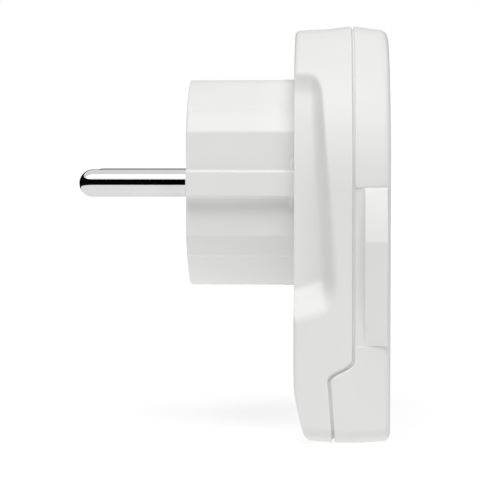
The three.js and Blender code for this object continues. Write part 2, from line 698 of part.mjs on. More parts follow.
// The shutter is a disc whose two holes stand off the pin holes until both pins turn it.
function makeShutter() {
  let disc = rod(SHUTTER_X0, SHUTTER_X1, SHUTTER_RADIUS, 0, 0, 2 * ARC_STEPS);
  disc = disc.subtract(rod(10, 20, 1.5 + GAP));
  const holeRadius = PIN_HOLE_RADIUS + 0.1;
  for (const half of [0, 180]) {
    const angle = THREE.MathUtils.degToRad(90 - SHUTTER_TURN + half);
    const y = (PIN_PITCH / 2) * Math.cos(angle);
    const z = (PIN_PITCH / 2) * Math.sin(angle);
    disc = disc.subtract(rod(10, 20, holeRadius, y, z));
  }
  place('shutter_disc', disc, 'insulator');
  const steps = 20;
  const coil = [];
  for (let step = 0; step <= steps; step += 1) {
    const angle = (1.7 * Math.PI * step) / steps;
    coil.push(new THREE.Vector3(SPRING_X, 4.2 * Math.cos(angle), 4.2 * Math.sin(angle)));
  }
  const wire = new THREE.Shape().absarc(0, 0, 0.35, 0, 2 * Math.PI);
  const extrudePath = new THREE.CatmullRomCurve3(coil);
  const spring = new THREE.ExtrudeGeometry(wire, { steps: 2 * steps, curveSegments: 4, extrudePath });
  place('shutter_spring', solid(spring), 'springSteel');
}

// ---- Socket ----------------------------------------------------------------------------------

// The well: a cup with a flat floor, its rim let into the front face, and a rib at the top and
// bottom that keys the notches of a plug.
function makeSocketInsert() {
  const wellOuter = WELL_RADIUS + WELL_WALL;
  const rimEdge = 0.4;
  const profile = [
    [SPIGOT_X, 0],
    [SPIGOT_X, SPIGOT_RADIUS],
    [WELL_BACK_X, SPIGOT_RADIUS],
    [WELL_BACK_X, wellOuter],
    [FRONT_X - WELL_RIM_DEPTH, wellOuter],
    [FRONT_X - WELL_RIM_DEPTH, WELL_RIM_RADIUS],
    [FRONT_X - rimEdge, WELL_RIM_RADIUS],
    [FRONT_X, WELL_RIM_RADIUS - rimEdge],
    [FRONT_X, WELL_RADIUS + 0.7],
    [FRONT_X - 0.7, WELL_RADIUS],
    [WELL_FLOOR_X, WELL_RADIUS],
    [WELL_FLOOR_X, 0],
  ];
  let insert = turned(profile, 2 * ARC_STEPS);
  for (const side of [-1, 1]) {
    const ribZ = [side * 17.8, side * 20.2].sort((a, b) => a - b);
    insert = insert.add(box([WELL_FLOOR_X - 0.3, FRONT_X - 2.5], [-2.4, 2.4], ribZ));
    insert = insert.subtract(rod(10, 30, PIN_HOLE_RADIUS, 0, (side * PIN_PITCH) / 2));
    const tail = [side * (EARTH_TAIL_Y - 0.6), side * (EARTH_TAIL_Y + 0.6)].sort((a, b) => a - b);
    insert = insert.subtract(box([10, 30], tail, [-2.6, 2.6]));
    const relief = [side * (WELL_RADIUS - 1), side * (WELL_RADIUS + 0.3)].sort((a, b) => a - b);
    insert = insert.subtract(box([WELL_FLOOR_X, 32.6], relief, [-2.9, 2.9]));
  }
  const barChannel = box([10, 21], [-6.6, 6.6], [-30, -13.2]);
  place('socket_insert', insert.subtract(barChannel), 'whitePlastic');
}

// The earth clips: a bowed blade on each side of the well, a foot on its floor and a tail behind.
function makeSocketEarthClips() {
  const blade = 0.6;
  const bow = [
    [31.8, 19.5],
    [30.4, 18.5],
    [28.2, 17.3],
    [26.2, 17.1],
    [24.2, 17.8],
    [22.7, 18.6],
  ];
  const inner = bow.map(([x, y]) => [x, y - blade]);
  const footTop = WELL_FLOOR_X + GAP + blade;
  const tailY = EARTH_TAIL_Y - blade / 2;
  const outline = [
    ...bow,
    [WELL_FLOOR_X + GAP, 18.6],
    [WELL_FLOOR_X + GAP, tailY + blade],
    [8.5, tailY + blade],
    [8.5, tailY],
    [footTop, tailY],
    [footTop, 18.0],
    ...inner.reverse(),
  ];
  const clip = alongZ(outline, -2.3, 2.3);
  place('socket_earth_left', clip, 'nickel');
  place('socket_earth_right', mirrored(clip), 'nickel');
}

// ---- Board and display -----------------------------------------------------------------------

function makeBoard() {
  const shape = roundedRectangle(21.9, -39.9, -19, 0.8);
  let board = alongX(shape, BOARD_X0, BOARD_X1, SMALL_CORNER);
  board = board.subtract(rod(20, 40, 22.4, 0, 0, 2 * ARC_STEPS));
  for (const spot of SCREW_SPOTS.filter(({ z }) => z < 0)) {
    board = board.subtract(rod(20, 40, BOSS_RADIUS + GAP, spot.y, spot.z));
  }
  place('main_board', board, 'boardGreen');
}

const PARTS_X1 = BOARD_X0 - GAP; // the tall components stand on the board's rear side

function makeComponents() {
  place('film_capacitor', roundedBox([21.1, PARTS_X1], [-21, -8], [-33, -24.4], 0.5), 'capacitorYellow');
  const chip = roundedBox([25.4, PARTS_X1], [-17.6, -8], [-39.4, -34.8], 0.2);
  place('meter_chip', chip, 'sleeveBlack');
  const legs = box([22.6, PARTS_X1], [-3.6, 3.6], [-28.6, -26.2]);
  const arch = box([20, 26], [-2.9, 2.9], [-30, -25]).translate([3.4, 0, 0]);
  place('shunt_strip', legs.subtract(arch), 'brass');
  const can = crossRod(7.4, 17.8, 2.5, 24.2, -36.8);
  place('electrolytic_capacitor', can, 'sleeveBlack');
  const cell = turned(
    [
      [21.3, 0],
      [21.3, 5.2],
      [21.7, 5.8],
      [26.3, 5.8],
      [26.3, 0],
    ],
    32,
  );
  place('button_cell', cell.translate([0, 14.6, -27.6]), 'nickel');
  const spanY = [14.6 - 6.7, 14.6 + 6.7];
  const clipBlock = box([20.65, 26.6], spanY, [-29.6, -25.6]);
  const clipRoom = box([21, 27], [spanY[0] + 0.6, spanY[1] - 0.6], [-30, -25]);
  place('cell_clip', clipBlock.subtract(clipRoom), 'springSteel');
}

function makeDisplay() {
  const lcdX = [31, 32.35];
  place('lcd_panel', roundedBox(lcdX, [-17.4, 17.4], [-35.2, -23.2], 0.2), 'glass');
  const frameX = [BOARD_X1 + GAP, 30.7];
  const frameOuter = box(frameX, [-18.8, 18.8], [-35.8, -22.6]);
  const frameInner = box([20, 40], [-17.6, 17.6], [-34.8, -23.6]);
  place('lcd_frame', frameOuter.subtract(frameInner).subtract(rod(20, 40, 22.4)), 'whitePlastic');
  place('lcd_connector_top', box(frameX, [-16.5, 16.5], [-25.7, -23.9]), 'rubber');
  place('lcd_connector_bottom', box(frameX, [-16.5, 16.5], [-34.5, -32.7]), 'rubber');
  const lens = plate(WINDOW_HALF_WIDTH, WINDOW_BOTTOM, WINDOW_TOP, 0.8, 33.8, FRONT_X - 0.15);
  place('display_window', lens, 'clearPlastic');
}

const BUTTON_NAMES = ['right_button', 'middle_button', 'left_button'];

// Each cap has a flange behind the front wall that keeps it in, and a stem towards the mat.
function makeButtons() {
  BUTTON_NAMES.forEach((name, i) => {
    const y = (i - 1) * BUTTON_PITCH;
    const halfHeight = BUTTON_HEIGHT / 2;
    const bottom = BUTTON_Z - halfHeight;
    const top = BUTTON_Z + halfHeight;
    const cap = plate(BUTTON_WIDTH / 2, bottom, top, 0.9, 32, BUTTON_FRONT_X, y);
    const flange = plate(BUTTON_WIDTH / 2 + 0.7, bottom - 0.4, top + 0.4, 0.9, BUTTON_BACK_X, 32.3, y);
    place(name, cap.add(flange), 'buttonGrey');
  });
  let mat = box([BOARD_X1 + GAP, 29.9], [-17.6, 17.6], [-40.1, -36.2]);
  for (const side of [-1, 0, 1]) {
    mat = mat.add(rod(29.5, 31, 1.6, side * BUTTON_PITCH, BUTTON_Z));
  }
  place('keypad_mat', mat, 'rubber');
}

makeRearShell();
makeFrontShell();
makeSideGrips();
makeScrews();
makePlugBody();
makePins();
makePlugEarthStrips();
makeContactBlock();
makeConductors();
makeShutter();
makeSocketInsert();
makeSocketEarthClips();
makeBoard();
makeComponents();
makeDisplay();
makeButtons();

export default meter;
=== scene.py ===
"""Looks of the slim plug-in power meter: its fine shells, plug, socket, display and buttons.

Shapes are worked out in millimetres in the frame of the part (+X to the front of the meter, +Z up,
origin at the centre of the plug's end face), and turned into metres as each piece is finished.
"""

import json
import math

import bmesh
import bpy
import numpy as np
from mathutils import Matrix, Vector


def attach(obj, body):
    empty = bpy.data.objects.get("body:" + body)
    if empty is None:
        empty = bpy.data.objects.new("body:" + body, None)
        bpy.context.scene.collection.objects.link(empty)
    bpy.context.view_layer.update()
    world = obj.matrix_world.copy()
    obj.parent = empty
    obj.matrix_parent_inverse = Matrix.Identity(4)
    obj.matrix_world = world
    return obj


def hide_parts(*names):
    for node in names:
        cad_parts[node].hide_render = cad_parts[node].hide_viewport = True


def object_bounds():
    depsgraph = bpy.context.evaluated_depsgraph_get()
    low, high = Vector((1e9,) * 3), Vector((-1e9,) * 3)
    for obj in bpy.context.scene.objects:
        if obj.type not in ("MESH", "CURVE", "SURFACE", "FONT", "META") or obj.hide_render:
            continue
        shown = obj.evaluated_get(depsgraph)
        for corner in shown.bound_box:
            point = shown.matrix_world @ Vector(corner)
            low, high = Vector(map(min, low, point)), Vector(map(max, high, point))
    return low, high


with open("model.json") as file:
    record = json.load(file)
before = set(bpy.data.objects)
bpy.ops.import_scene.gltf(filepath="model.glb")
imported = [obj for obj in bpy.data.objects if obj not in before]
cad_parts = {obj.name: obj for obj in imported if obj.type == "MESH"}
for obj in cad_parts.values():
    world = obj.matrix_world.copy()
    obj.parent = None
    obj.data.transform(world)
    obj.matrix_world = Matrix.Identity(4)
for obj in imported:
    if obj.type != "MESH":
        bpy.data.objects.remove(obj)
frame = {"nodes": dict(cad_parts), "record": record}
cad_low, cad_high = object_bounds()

MM = 0.001
ROOT = "meter"

# ---- Driving dimensions, in millimetres ------------------------------------------------------

# Housing
REAR_X = 18.5
SEAM_X = 28.5
FRONT_X = 34.65
SEAM_RADIUS = 27.6
BOTTOM_Z = -43.1
BOTTOM_SEAM_X = 25.3
BOTTOM_RISE = 0.45
CORNER_RADIUS = 2.6
WALL = 2.0
THIN_REAR_WALL = 1.2
SEAM_GAP = 0.44
GROOVE_DEPTH = 0.62
REAR_EDGE = 0.85
FRONT_EDGE = 1.2
OUTSIDE = 40.0

# Finger pocket: the edges of its floor, and how far its walls lean out to the rim
POCKET_FLOOR_Y = 21.8
POCKET_FLOOR_CURVE = 42.6
POCKET_WALL = 1.0
POCKET_TOP_Z = 16.2
POCKET_TOP_LEAN = 2.6
POCKET_FRONT_X = 22.8
POCKET_FRONT_RISE = -0.0635
POCKET_FRONT_LEAN = 1.35
POCKET_BOTTOM_Z = -18.0
POCKET_BOTTOM_RISE = 0.33
POCKET_BOTTOM_LEAN = 2.85
POCKET_CORNER = 0.55
POCKET_FOOT = 0.6
PAD_X = 26.8
PAD_Z = (-23.6, 20.6)

# Plug
PIN_Y = 9.5
PIN_RADIUS = 2.4
PIN_LENGTH = 19.0
PLUG_RADIUS = 18.55
PLUG_CROWN_RADIUS = 18.25
PLUG_SHOULDER_Z = 12.4
PLUG_FLAT_Y = 16.3
PLUG_RIB_Y = 18.15
PLUG_RIB_HALF = 2.15
PLUG_FACE = 1.6
PLUG_END_X = 19.0
PLUG_EDGE = 0.45
PLUG_ROOM_RADIUS = 16.2
PLUG_ROOM_HALF = 14.6
PLUG_SPIGOT_RADIUS = 16.9
PLUG_BORE = 15.9
PLUG_SEAT_BORE = 17.2
STRIP_HALF = 2.6
STRIP_END_X = 16.4
STRIP_HOOK_X = 14.9
STRIP_FLOOR_Z = 16.9
STRIP_HOOK_Z = 14.0
SHUNT_HALF = 6.6

# Socket
WELL_RADIUS = 19.6
WELL_OUTER = 20.5
WELL_RIM_RADIUS = 22.1
WELL_RIM_DEPTH = 1.1
WELL_FLOOR_X = 21.8
WELL_BACK_X = 20.0
SPIGOT_RADIUS = 15.6
SPIGOT_X = 18.5
WELL_MOUTH_EDGE = 1.0
WELL_RIM_EDGE = 0.4
PIN_HOLE_RADIUS = 2.8
PIN_HOLE_Z = 9.5
KEY_RIB_HALF = 2.4
KEY_RIB_Z = (17.8, 20.4)
KEY_RIB_X = 32.8
KEY_RIB_CHAMFER = 0.8
CLIP_SLOT_X = 32.6
CLIP_SLOT_HALF = 2.9
TAIL_Y = 12.95
TAIL_HALF_THICK = 0.6
TAIL_HALF = 2.6

# Grips
GRIP_X0 = 28.74
GRIP_X1 = 34.2
GRIP_TOP = -0.4
GRIP_BOTTOM = -26.7
GRIP_SEAT_Y = 26.0
GRIP_SURFACE = 27.25
GRIP_WALL = 1.6
GRIP_CREST_Z = -9.35
GRIP_CREST_Y = 30.75
WEDGE_X0 = 30.3
WEDGE_TOP = -0.6
WEDGE_BOTTOM = -26.3
WEDGE_SLOPE = 0.23
WEDGE_CURVE = 0.0166
WEDGE_KNEE = (-17.5, 29.05)

# Window and buttons
WINDOW_HALF = 16.9
WINDOW_TOP = -23.7
WINDOW_BOTTOM = -34.3
WINDOW_X0 = 33.8
MASK_X = (33.72, 33.77)
MASK_OPENING_HALF = 14.6
READING = "2304"
POINT_PLACE = 2.5
FIRST_DIGIT_Y = -8.6
DIGIT_PITCH = 5.6
DIGIT_WIDTH = 3.1
DIGIT_HEIGHT = 5.6
DIGIT_X = (32.37, 32.41)
BAR_THICK = 0.62
POINT_HALF = 0.38
BUTTON_Z = -38.0
BUTTON_PITCH = 12.5
BUTTON_WIDTH = 8.0
BUTTON_HEIGHT = 3.4
BUTTON_BACK_X = 31.7
BUTTON_FLANGE_X = 32.3
BUTTON_FRONT_X = 34.6
MARK_DEPTH = 0.12

GAP = 0.3
BOSS_RADIUS = 2.25
SCREWS = {
    "screw_top_left": (14.5, 18.5, 20.1),
    "screw_top_right": (-14.5, 18.5, 20.1),
    "screw_bottom_left": (20.9, -38.0, 21.4),
    "screw_bottom_right": (-20.9, -38.0, 21.4),
}
SCREW_RADIUS = 1.1
SCREW_CORE_RADIUS = 0.85
SCREW_PITCH = 0.95
SCREW_HEAD_RADIUS = 1.9
SCREW_HEAD = 1.3
SCREW_TIP_X = 31.0

VOXEL = 0.17
POCKET_STEP = 0.2

# ---- Stage, in metres and degrees ------------------------------------------------------------

CAMERA_PLACE = (0.0239, -0.39, 0.006)
CAMERA_AIM = (0.0086, 0.0, -0.01025)
CAMERA_LENS = 164.5
SUN_STRENGTH = 0.75 * math.pi
SUN_ANGLE = 40
SUN_DIRECTION = (0, 0.4245, -1)
WORLD_LIGHTING = 0.26
WORLD_REFLECTED = 0.95
SOFTBOX_PLACE = (0, -0.24, 0.40)
SOFTBOX_SIZE = (1.0, 0.28)
SOFTBOX_POWER = 1.5 * math.pi * 0.28
FLAG_RADIUS = 0.19
FLAG_TOP = 0.115
FLOOR_DROP = 0.0002
FLOOR_HALF = 3.0
FLOOR_GLOW = 0.8


# ---- Mesh tools ------------------------------------------------------------------------------

def new_object(name, points, faces):
    mesh = bpy.data.meshes.new(name)
    mesh.from_pydata([tuple(p) for p in points], [], faces)
    mesh.validate()
    made = bpy.data.objects.new(name, mesh)
    bpy.context.collection.objects.link(made)
    return made


def loft(sections):
    """A closed body through rings of points, each with the same number of points."""
    count = len(sections[0])
    points = [p for ring in sections for p in ring]
    faces = []
    for i in range(len(sections) - 1):
        for j in range(count):
            a = i * count + j
            b = i * count + (j + 1) % count
            faces.append((a, b, b + count, a + count))
    faces.append(tuple(reversed(range(count))))
    last = (len(sections) - 1) * count
    faces.append(tuple(range(last, last + count)))
    made = new_object("solid", points, faces)
    make_outward(made.data)
    return made


def make_outward(mesh):
    work = bmesh.new()
    work.from_mesh(mesh)
    bmesh.ops.recalc_face_normals(work, faces=work.faces)
    if work.calc_volume(signed=True) < 0:
        bmesh.ops.reverse_faces(work, faces=work.faces)
    work.to_mesh(mesh)
    work.free()


def along_x(outline, x0, x1):
    """A (y, z) outline pushed out along X."""
    return loft([[(x, y, z) for y, z in outline] for x in (x0, x1)])


def along_y(outline, y0, y1):
    """An (x, z) outline pushed out along Y."""
    return loft([[(x, y, z) for x, z in outline] for y in (y0, y1)])


def along_z(outline, z0, z1):
    """An (x, y) outline pushed out along Z."""
    return loft([[(x, y, z) for x, y in outline] for z in (z0, z1)])


def block(x, y, z):
    return along_x([(y[0], z[0]), (y[1], z[0]), (y[1], z[1]), (y[0], z[1])], *x)


def ring_points(radius, steps, y=0.0, z=0.0):
    turns = [2 * math.pi * i / steps for i in range(steps)]
    return [(y + radius * math.cos(a), z + radius * math.sin(a)) for a in turns]


def turned(profile, steps=128, y=0.0, z=0.0):
    """A profile of (x, radius) points turned round an axis along X. Its ends are flat or pointed."""
    tiny = 0.004
    return loft([[(x, *p) for p in ring_points(max(r, tiny), steps, y, z)] for x, r in profile])


def rod(x0, x1, radius, y=0.0, z=0.0, steps=64):
    return turned([(x0, radius), (x1, radius)], steps, y, z)


def arc(centre, radius, start, end, steps):
    """Points on an arc, from angle start to end in degrees."""
    turns = [math.radians(start + (end - start) * i / steps) for i in range(steps + 1)]
    return [(centre[0] + radius * math.cos(a), centre[1] + radius * math.sin(a)) for a in turns]


def rounded(path, radius, steps=6):
    """A path of 2D points with its inner corners rounded."""
    points = [Vector(p) for p in path]
    out = [points[0]]
    for before, corner, after in zip(points, points[1:], points[2:]):
        to_before = (before - corner).normalized()
        to_after = (after - corner).normalized()
        reach = min(radius, (before - corner).length * 0.45, (after - corner).length * 0.45)
        start = corner + to_before * reach
        end = corner + to_after * reach
        for i in range(steps + 1):
            t = i / steps
            out.append(start * (1 - t) ** 2 + corner * 2 * t * (1 - t) + end * t ** 2)
    out.append(points[-1])
    return [tuple(p) for p in out]


def rounded_rectangle(half_width, low, high, radius, y=0.0, steps=8):
    right, left = y + half_width - radius, y - half_width + radius
    return (
        arc((right, low + radius), radius, -90, 0, steps)
        + arc((right, high - radius), radius, 0, 90, steps)
        + arc((left, high - radius), radius, 90, 180, steps)
        + arc((left, low + radius), radius, 180, 270, steps)
    )


def combine(whole, other, operation):
    """Joins, cuts or intersects two closed bodies, and uses up the second."""
    change = whole.modifiers.new("combine", "BOOLEAN")
    change.operation = operation
    change.solver = "MANIFOLD"
    change.object = other
    apply_modifiers(whole)
    bpy.data.objects.remove(other)
    return whole


def join(whole, *others):
    for other in others:
        combine(whole, other, "UNION")
    return whole


def cut(whole, *others):
    for other in others:
        combine(whole, other, "DIFFERENCE")
    return whole


def common(whole, other):
    return combine(whole, other, "INTERSECT")


def apply_modifiers(piece):
    view = bpy.context.evaluated_depsgraph_get()
    fresh = bpy.data.meshes.new_from_object(piece.evaluated_get(view))
    old = piece.data
    piece.modifiers.clear()
    piece.data = fresh
    bpy.data.meshes.remove(old)


def mirrored(piece):
    """A copy of the piece on the other side of the XZ plane."""
    twin = piece.copy()
    twin.data = piece.data.copy()
    bpy.context.collection.objects.link(twin)
    for vertex in twin.data.vertices:
        vertex.co.y = -vertex.co.y
    twin.data.flip_normals()
    return twin


def melt_edges(piece, voxel=VOXEL, passes=4, faces=70000):
    """Rounds every edge of a moulded body by about one voxel, then thins its mesh out."""
    remesh = piece.modifiers.new("remesh", "REMESH")
    remesh.mode = "VOXEL"
    remesh.voxel_size = voxel
    remesh.adaptivity = 0.0
    smooth = piece.modifiers.new("smooth", "SMOOTH")
    smooth.factor = 0.5
    smooth.iterations = passes
    apply_modifiers(piece)
    triangles = 2 * len(piece.data.polygons)
    if triangles > faces:
        thin = piece.modifiers.new("thin", "DECIMATE")
        thin.ratio = faces / triangles
        apply_modifiers(piece)
    return piece


def finished(piece, name, body, material, replaces=(), crease=40):
    """Names a piece, turns it into metres, shades it and ties it to the frame."""
    piece.name = name
    piece.data.name = name
    piece.data.transform(Matrix.Scale(MM, 4))
    piece.data.materials.clear()
    piece.data.materials.append(material)
    piece.data.shade_smooth()
    if crease is not None:
        piece.data.set_sharp_from_angle(angle=math.radians(crease))
    weigh = piece.modifiers.new("weighted normals", "WEIGHTED_NORMAL")
    weigh.keep_sharp = True
    apply_modifiers(piece)
    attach(piece, body)
    if replaces:
        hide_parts(*replaces)
    return piece


# ---- Housing ---------------------------------------------------------------------------------

def edge_rounding(x):
    """How far the rounded rear and front edges draw the outline in at x."""
    rear = max(REAR_X + REAR_EDGE - x, 0)
    front = max(x - FRONT_X + FRONT_EDGE, 0)
    rear_drop = REAR_EDGE - math.sqrt(max(REAR_EDGE ** 2 - rear ** 2, 0))
    front_drop = FRONT_EDGE - math.sqrt(max(FRONT_EDGE ** 2 - front ** 2, 0))
    return rear_drop + front_drop


def housing_radius(x):
    """The half width and top radius of the housing at x: both shells lean in from the seam."""
    places = [REAR_X, 24.4, 26.2, SEAM_X, FRONT_X]
    radii = [26.85, 27.1, 27.36, SEAM_RADIUS, 26.75]
    return float(np.interp(x, places, radii)) - edge_rounding(x)


def housing_bottom(x):
    """The height of the housing's underside at x, which leans less than its sides."""
    places = [REAR_X, BOTTOM_SEAM_X, SEAM_X, FRONT_X]
    heights = [BOTTOM_Z + BOTTOM_RISE, BOTTOM_Z, BOTTOM_Z, BOTTOM_Z + 0.3]
    return float(np.interp(x, places, heights)) + edge_rounding(x)


def housing_outline(radius, low):
    """The housing from the front: a half circle over a straight part with two rounded corners."""
    corner = CORNER_RADIUS
    side = radius - corner
    return (
        arc((0, 0), radius, 0, 180, 120)
        + arc((-side, low + corner), corner, 180, 270, 12)
        + arc((side, low + corner), corner, 270, 360, 12)
    )


def housing_stations():
    """Where along X the housing's outline is worked out, closer at the rounded edges."""
    quarter = [math.radians(90 * i / 8) for i in range(9)]
    rear = [REAR_X + REAR_EDGE * (1 - math.cos(a)) for a in quarter]
    middle = [22.0, 24.4, 25.3, 26.2, SEAM_X, 31.0]
    front = [FRONT_X - FRONT_EDGE * (1 - math.sin(a)) for a in quarter]
    return rear + middle + front


def housing_block(inset):
    """The whole housing as one solid, drawn in on every side but the rear and front faces."""
    rings = []
    for x in housing_stations():
        outline = housing_outline(housing_radius(x) - inset, housing_bottom(x) + inset)
        rings.append([(x, y, z) for y, z in outline])
    return loft(rings)


# The seam from the side, in (x, z): straight down, then a step to the rear, then down to the bottom
SEAM_PATH = rounded(
    [
        (SEAM_X, 34),
        (SEAM_X, -29.5),
        (27.6, -30.35),
        (25.1, -31.6),
        (24.4, -32.4),
        (25.1, -41.2),
        (BOTTOM_SEAM_X, -48),
    ],
    0.9,
)


def rear_of_seam(dx, dz):
    """All that is behind the seam, with the seam moved by (dx, dz)."""
    edge = [(x + dx, z + dz) for x, z in SEAM_PATH]
    return along_y(edge + [(10, -48), (10, 34)], -OUTSIDE, OUTSIDE)


def front_of_seam(dx, dz):
    """All that is in front of the seam, with the seam moved by (dx, dz)."""
    edge = [(x + dx, z + dz) for x, z in SEAM_PATH]
    return along_y(edge + [(45, -48), (45, 34)], -OUTSIDE, OUTSIDE)


def rear_slant(inset):
    """What is cut away below the leaning lower part of the rear face."""
    corners = [(18.4, -28), (18.6, -34.7), (20.3, -42.2), (23.0, -44)]
    edge = rounded([(x + inset, z) for x, z in corners], 1.6)
    return along_y(edge + [(5, -44), (5, -28)], -OUTSIDE, OUTSIDE)


def both_sides(piece):
    return join(piece, mirrored(piece))


def pocket_floor(z):
    """How far out the pocket's floor is: flat below the plug's axis, curving in above it."""
    curve = POCKET_FLOOR_CURVE
    return POCKET_FLOOR_Y - curve + np.sqrt(curve ** 2 - np.clip(z, 0, 30) ** 2)


def housing_room():
    """The room inside both shells, which stays clear of the pockets' and the grips' walls."""
    between = block((REAR_X + WALL, FRONT_X - WALL), (-OUTSIDE, OUTSIDE), (-50, OUTSIDE))
    room = common(housing_block(WALL), between)
    low, high = PAD_Z
    heights = [low] + list(np.linspace(0, high, 16))
    edge = [(float(pocket_floor(z)) - POCKET_WALL, z) for z in heights]
    pocket_pad = along_x(edge + [(OUTSIDE, high), (OUTSIDE, low)], 10, PAD_X)
    grip_heights = (GRIP_BOTTOM - GRIP_WALL, GRIP_TOP + GRIP_WALL)
    grip_pad = block((PAD_X, OUTSIDE), (GRIP_SEAT_Y - 1.5, OUTSIDE), grip_heights)
    return cut(room, both_sides(pocket_pad), both_sides(grip_pad), rear_slant(WALL))


def smooth_min(a, b, width):
    """The smaller of two values, with a soft turn over where they are within width of each other."""
    blend = np.maximum(width - np.abs(a - b), 0) / width
    return np.minimum(a, b) - blend ** 2 * width / 4


def side_surface(x, z):
    """How far out the housing's side is at (x, z): straight below the plug's axis, round above it."""
    radius = np.vectorize(housing_radius)(np.clip(x, REAR_X + REAR_EDGE, FRONT_X))
    return np.sqrt(radius ** 2 - np.clip(z, 0, 26) ** 2)


def pocket_height(x, z):
    """How far out the pocket's floor and walls are at (x, z), above the surface outside its rim."""
    front_x = POCKET_FRONT_X + POCKET_FRONT_RISE * z
    bottom_z = POCKET_BOTTOM_Z + POCKET_BOTTOM_RISE * (x - 21.0)
    top = np.maximum((z - POCKET_TOP_Z) / POCKET_TOP_LEAN + POCKET_CORNER, 0)
    front = np.maximum((x - front_x) / POCKET_FRONT_LEAN + POCKET_CORNER, 0)
    bottom = np.maximum((bottom_z - z) / POCKET_BOTTOM_LEAN + POCKET_CORNER, 0)
    reach = np.sqrt(top ** 2 + front ** 2 + bottom ** 2)
    along = reach - POCKET_CORNER
    foot = POCKET_FOOT
    along = np.where(along < foot, np.maximum(along + foot, 0) ** 2 / (4 * foot), along)
    shift = (POCKET_TOP_LEAN * top - POCKET_BOTTOM_LEAN * bottom) / np.maximum(reach, 0.01)
    floor = pocket_floor(z - along * shift)
    surface = side_surface(x, z)
    rim = side_surface(x, z + np.clip(1 - along, 0, 1) * shift)
    wall = floor + (rim - floor) * np.minimum(along, 1) + 4 * np.maximum(along - 1, 0)
    softness = np.interp(z, (-12, 12), (2.8, 0.9))
    height = smooth_min(wall, surface, softness)
    return np.where(height > surface - 0.002, surface + 0.4, height)


def finger_pocket():
    """The finger pocket's cutter, from its floor and walls out past the side of the housing."""
    along = np.arange(15.0, 28.2, POCKET_STEP)
    up = np.arange(-25.5, 23.0, POCKET_STEP)
    x, z = np.meshgrid(along, up, indexing="ij")
    low = np.stack([x, pocket_height(x, z), z], axis=-1).reshape(-1, 3)
    high = np.stack([x, np.full_like(x, 34.0), z], axis=-1).reshape(-1, 3)
    index = np.arange(x.size).reshape(x.shape)
    corners = [index[:-1, :-1], index[1:, :-1], index[1:, 1:], index[:-1, 1:]]
    faces = [tuple(face) for face in np.stack(corners, axis=-1).reshape(-1, 4).tolist()]
    lid = [tuple(i + x.size for i in reversed(face)) for face in faces]
    border = list(index[:, 0]) + list(index[-1, 1:])
    border += list(index[-2::-1, -1]) + list(index[0, -2:0:-1])
    border = [int(i) for i in border]
    sides = [(b, a, a + x.size, b + x.size) for a, b in zip(border, border[1:] + border[:1])]
    made = new_object("pocket", np.vstack([low, high]), faces + lid + sides)
    make_outward(made.data)
    return made


def flared_hole(x0, mouth_x, radius, y=0.0, z=0.0, flare=0.25, outward=-1):
    """A round hole's cutter with a rounded mouth on the side of outward."""
    profile = [(x0, radius)]
    for i in range(7):
        a = math.radians(90 * i / 6)
        x = mouth_x - outward * flare * (1 - math.sin(a))
        profile.append((x, radius + flare * (1 - math.cos(a))))
    profile.append((mouth_x + outward * 3, radius + flare))
    return turned(profile, 64, y, z)


def grip_zone(wall, inner_y):
    """The room round both grips that the shells' lip and its rebate leave out."""
    heights = (GRIP_BOTTOM - wall, GRIP_TOP + wall)
    return both_sides(block((27, 36), (inner_y, OUTSIDE), heights))


def make_rear_shell():
    shell = common(housing_block(0), rear_of_seam(-SEAM_GAP / 2, 0.15))
    lip = cut(common(housing_block(1.1), rear_of_seam(1.3, -1)), grip_zone(GRIP_WALL + GAP, 23.4))
    groove_floor = common(housing_block(GROOVE_DEPTH), rear_of_seam(SEAM_GAP / 2 + 0.25, -0.3))
    join(shell, lip, groove_floor)
    cut(shell, housing_room(), rear_slant(0))
    cut(shell, rod(REAR_X + THIN_REAR_WALL, 22, WELL_OUTER + GAP, steps=160))
    cut(shell, rod(10, 24, PLUG_SEAT_BORE, steps=160))
    cut(shell, along_x(plug_outline(0.02), 10, PLUG_END_X + 0.05))
    cut(shell, block((REAR_X + THIN_REAR_WALL, 22), (-SHUNT_HALF, SHUNT_HALF), (-24, -15)))
    for y, z, seat in SCREWS.values():
        boss = rod(seat - 0.5, SEAM_X - 1 if z > 0 else 24, BOSS_RADIUS, y, z)
        collar = rod(REAR_X, seat + WALL, SCREW_HEAD_RADIUS + 3 * GAP, y, z)
        join(shell, cut(common(join(boss, collar), housing_block(0.5)), rear_slant(0.4)))
        cut(shell, rod(seat + GAP, 10, SCREW_HEAD_RADIUS + GAP, y, z))
        cut(shell, rod(10, OUTSIDE, SCREW_RADIUS + GAP, y, z, steps=32))
    cut(shell, rod(WELL_BACK_X - GAP, OUTSIDE, WELL_OUTER + GAP, steps=160))
    pocket = finger_pocket()
    twin = mirrored(pocket)
    cut(shell, pocket, twin)
    melt_edges(shell)
    return finished(shell, "rear_shell_moulding", ROOT, WHITE, ["rear_shell"])


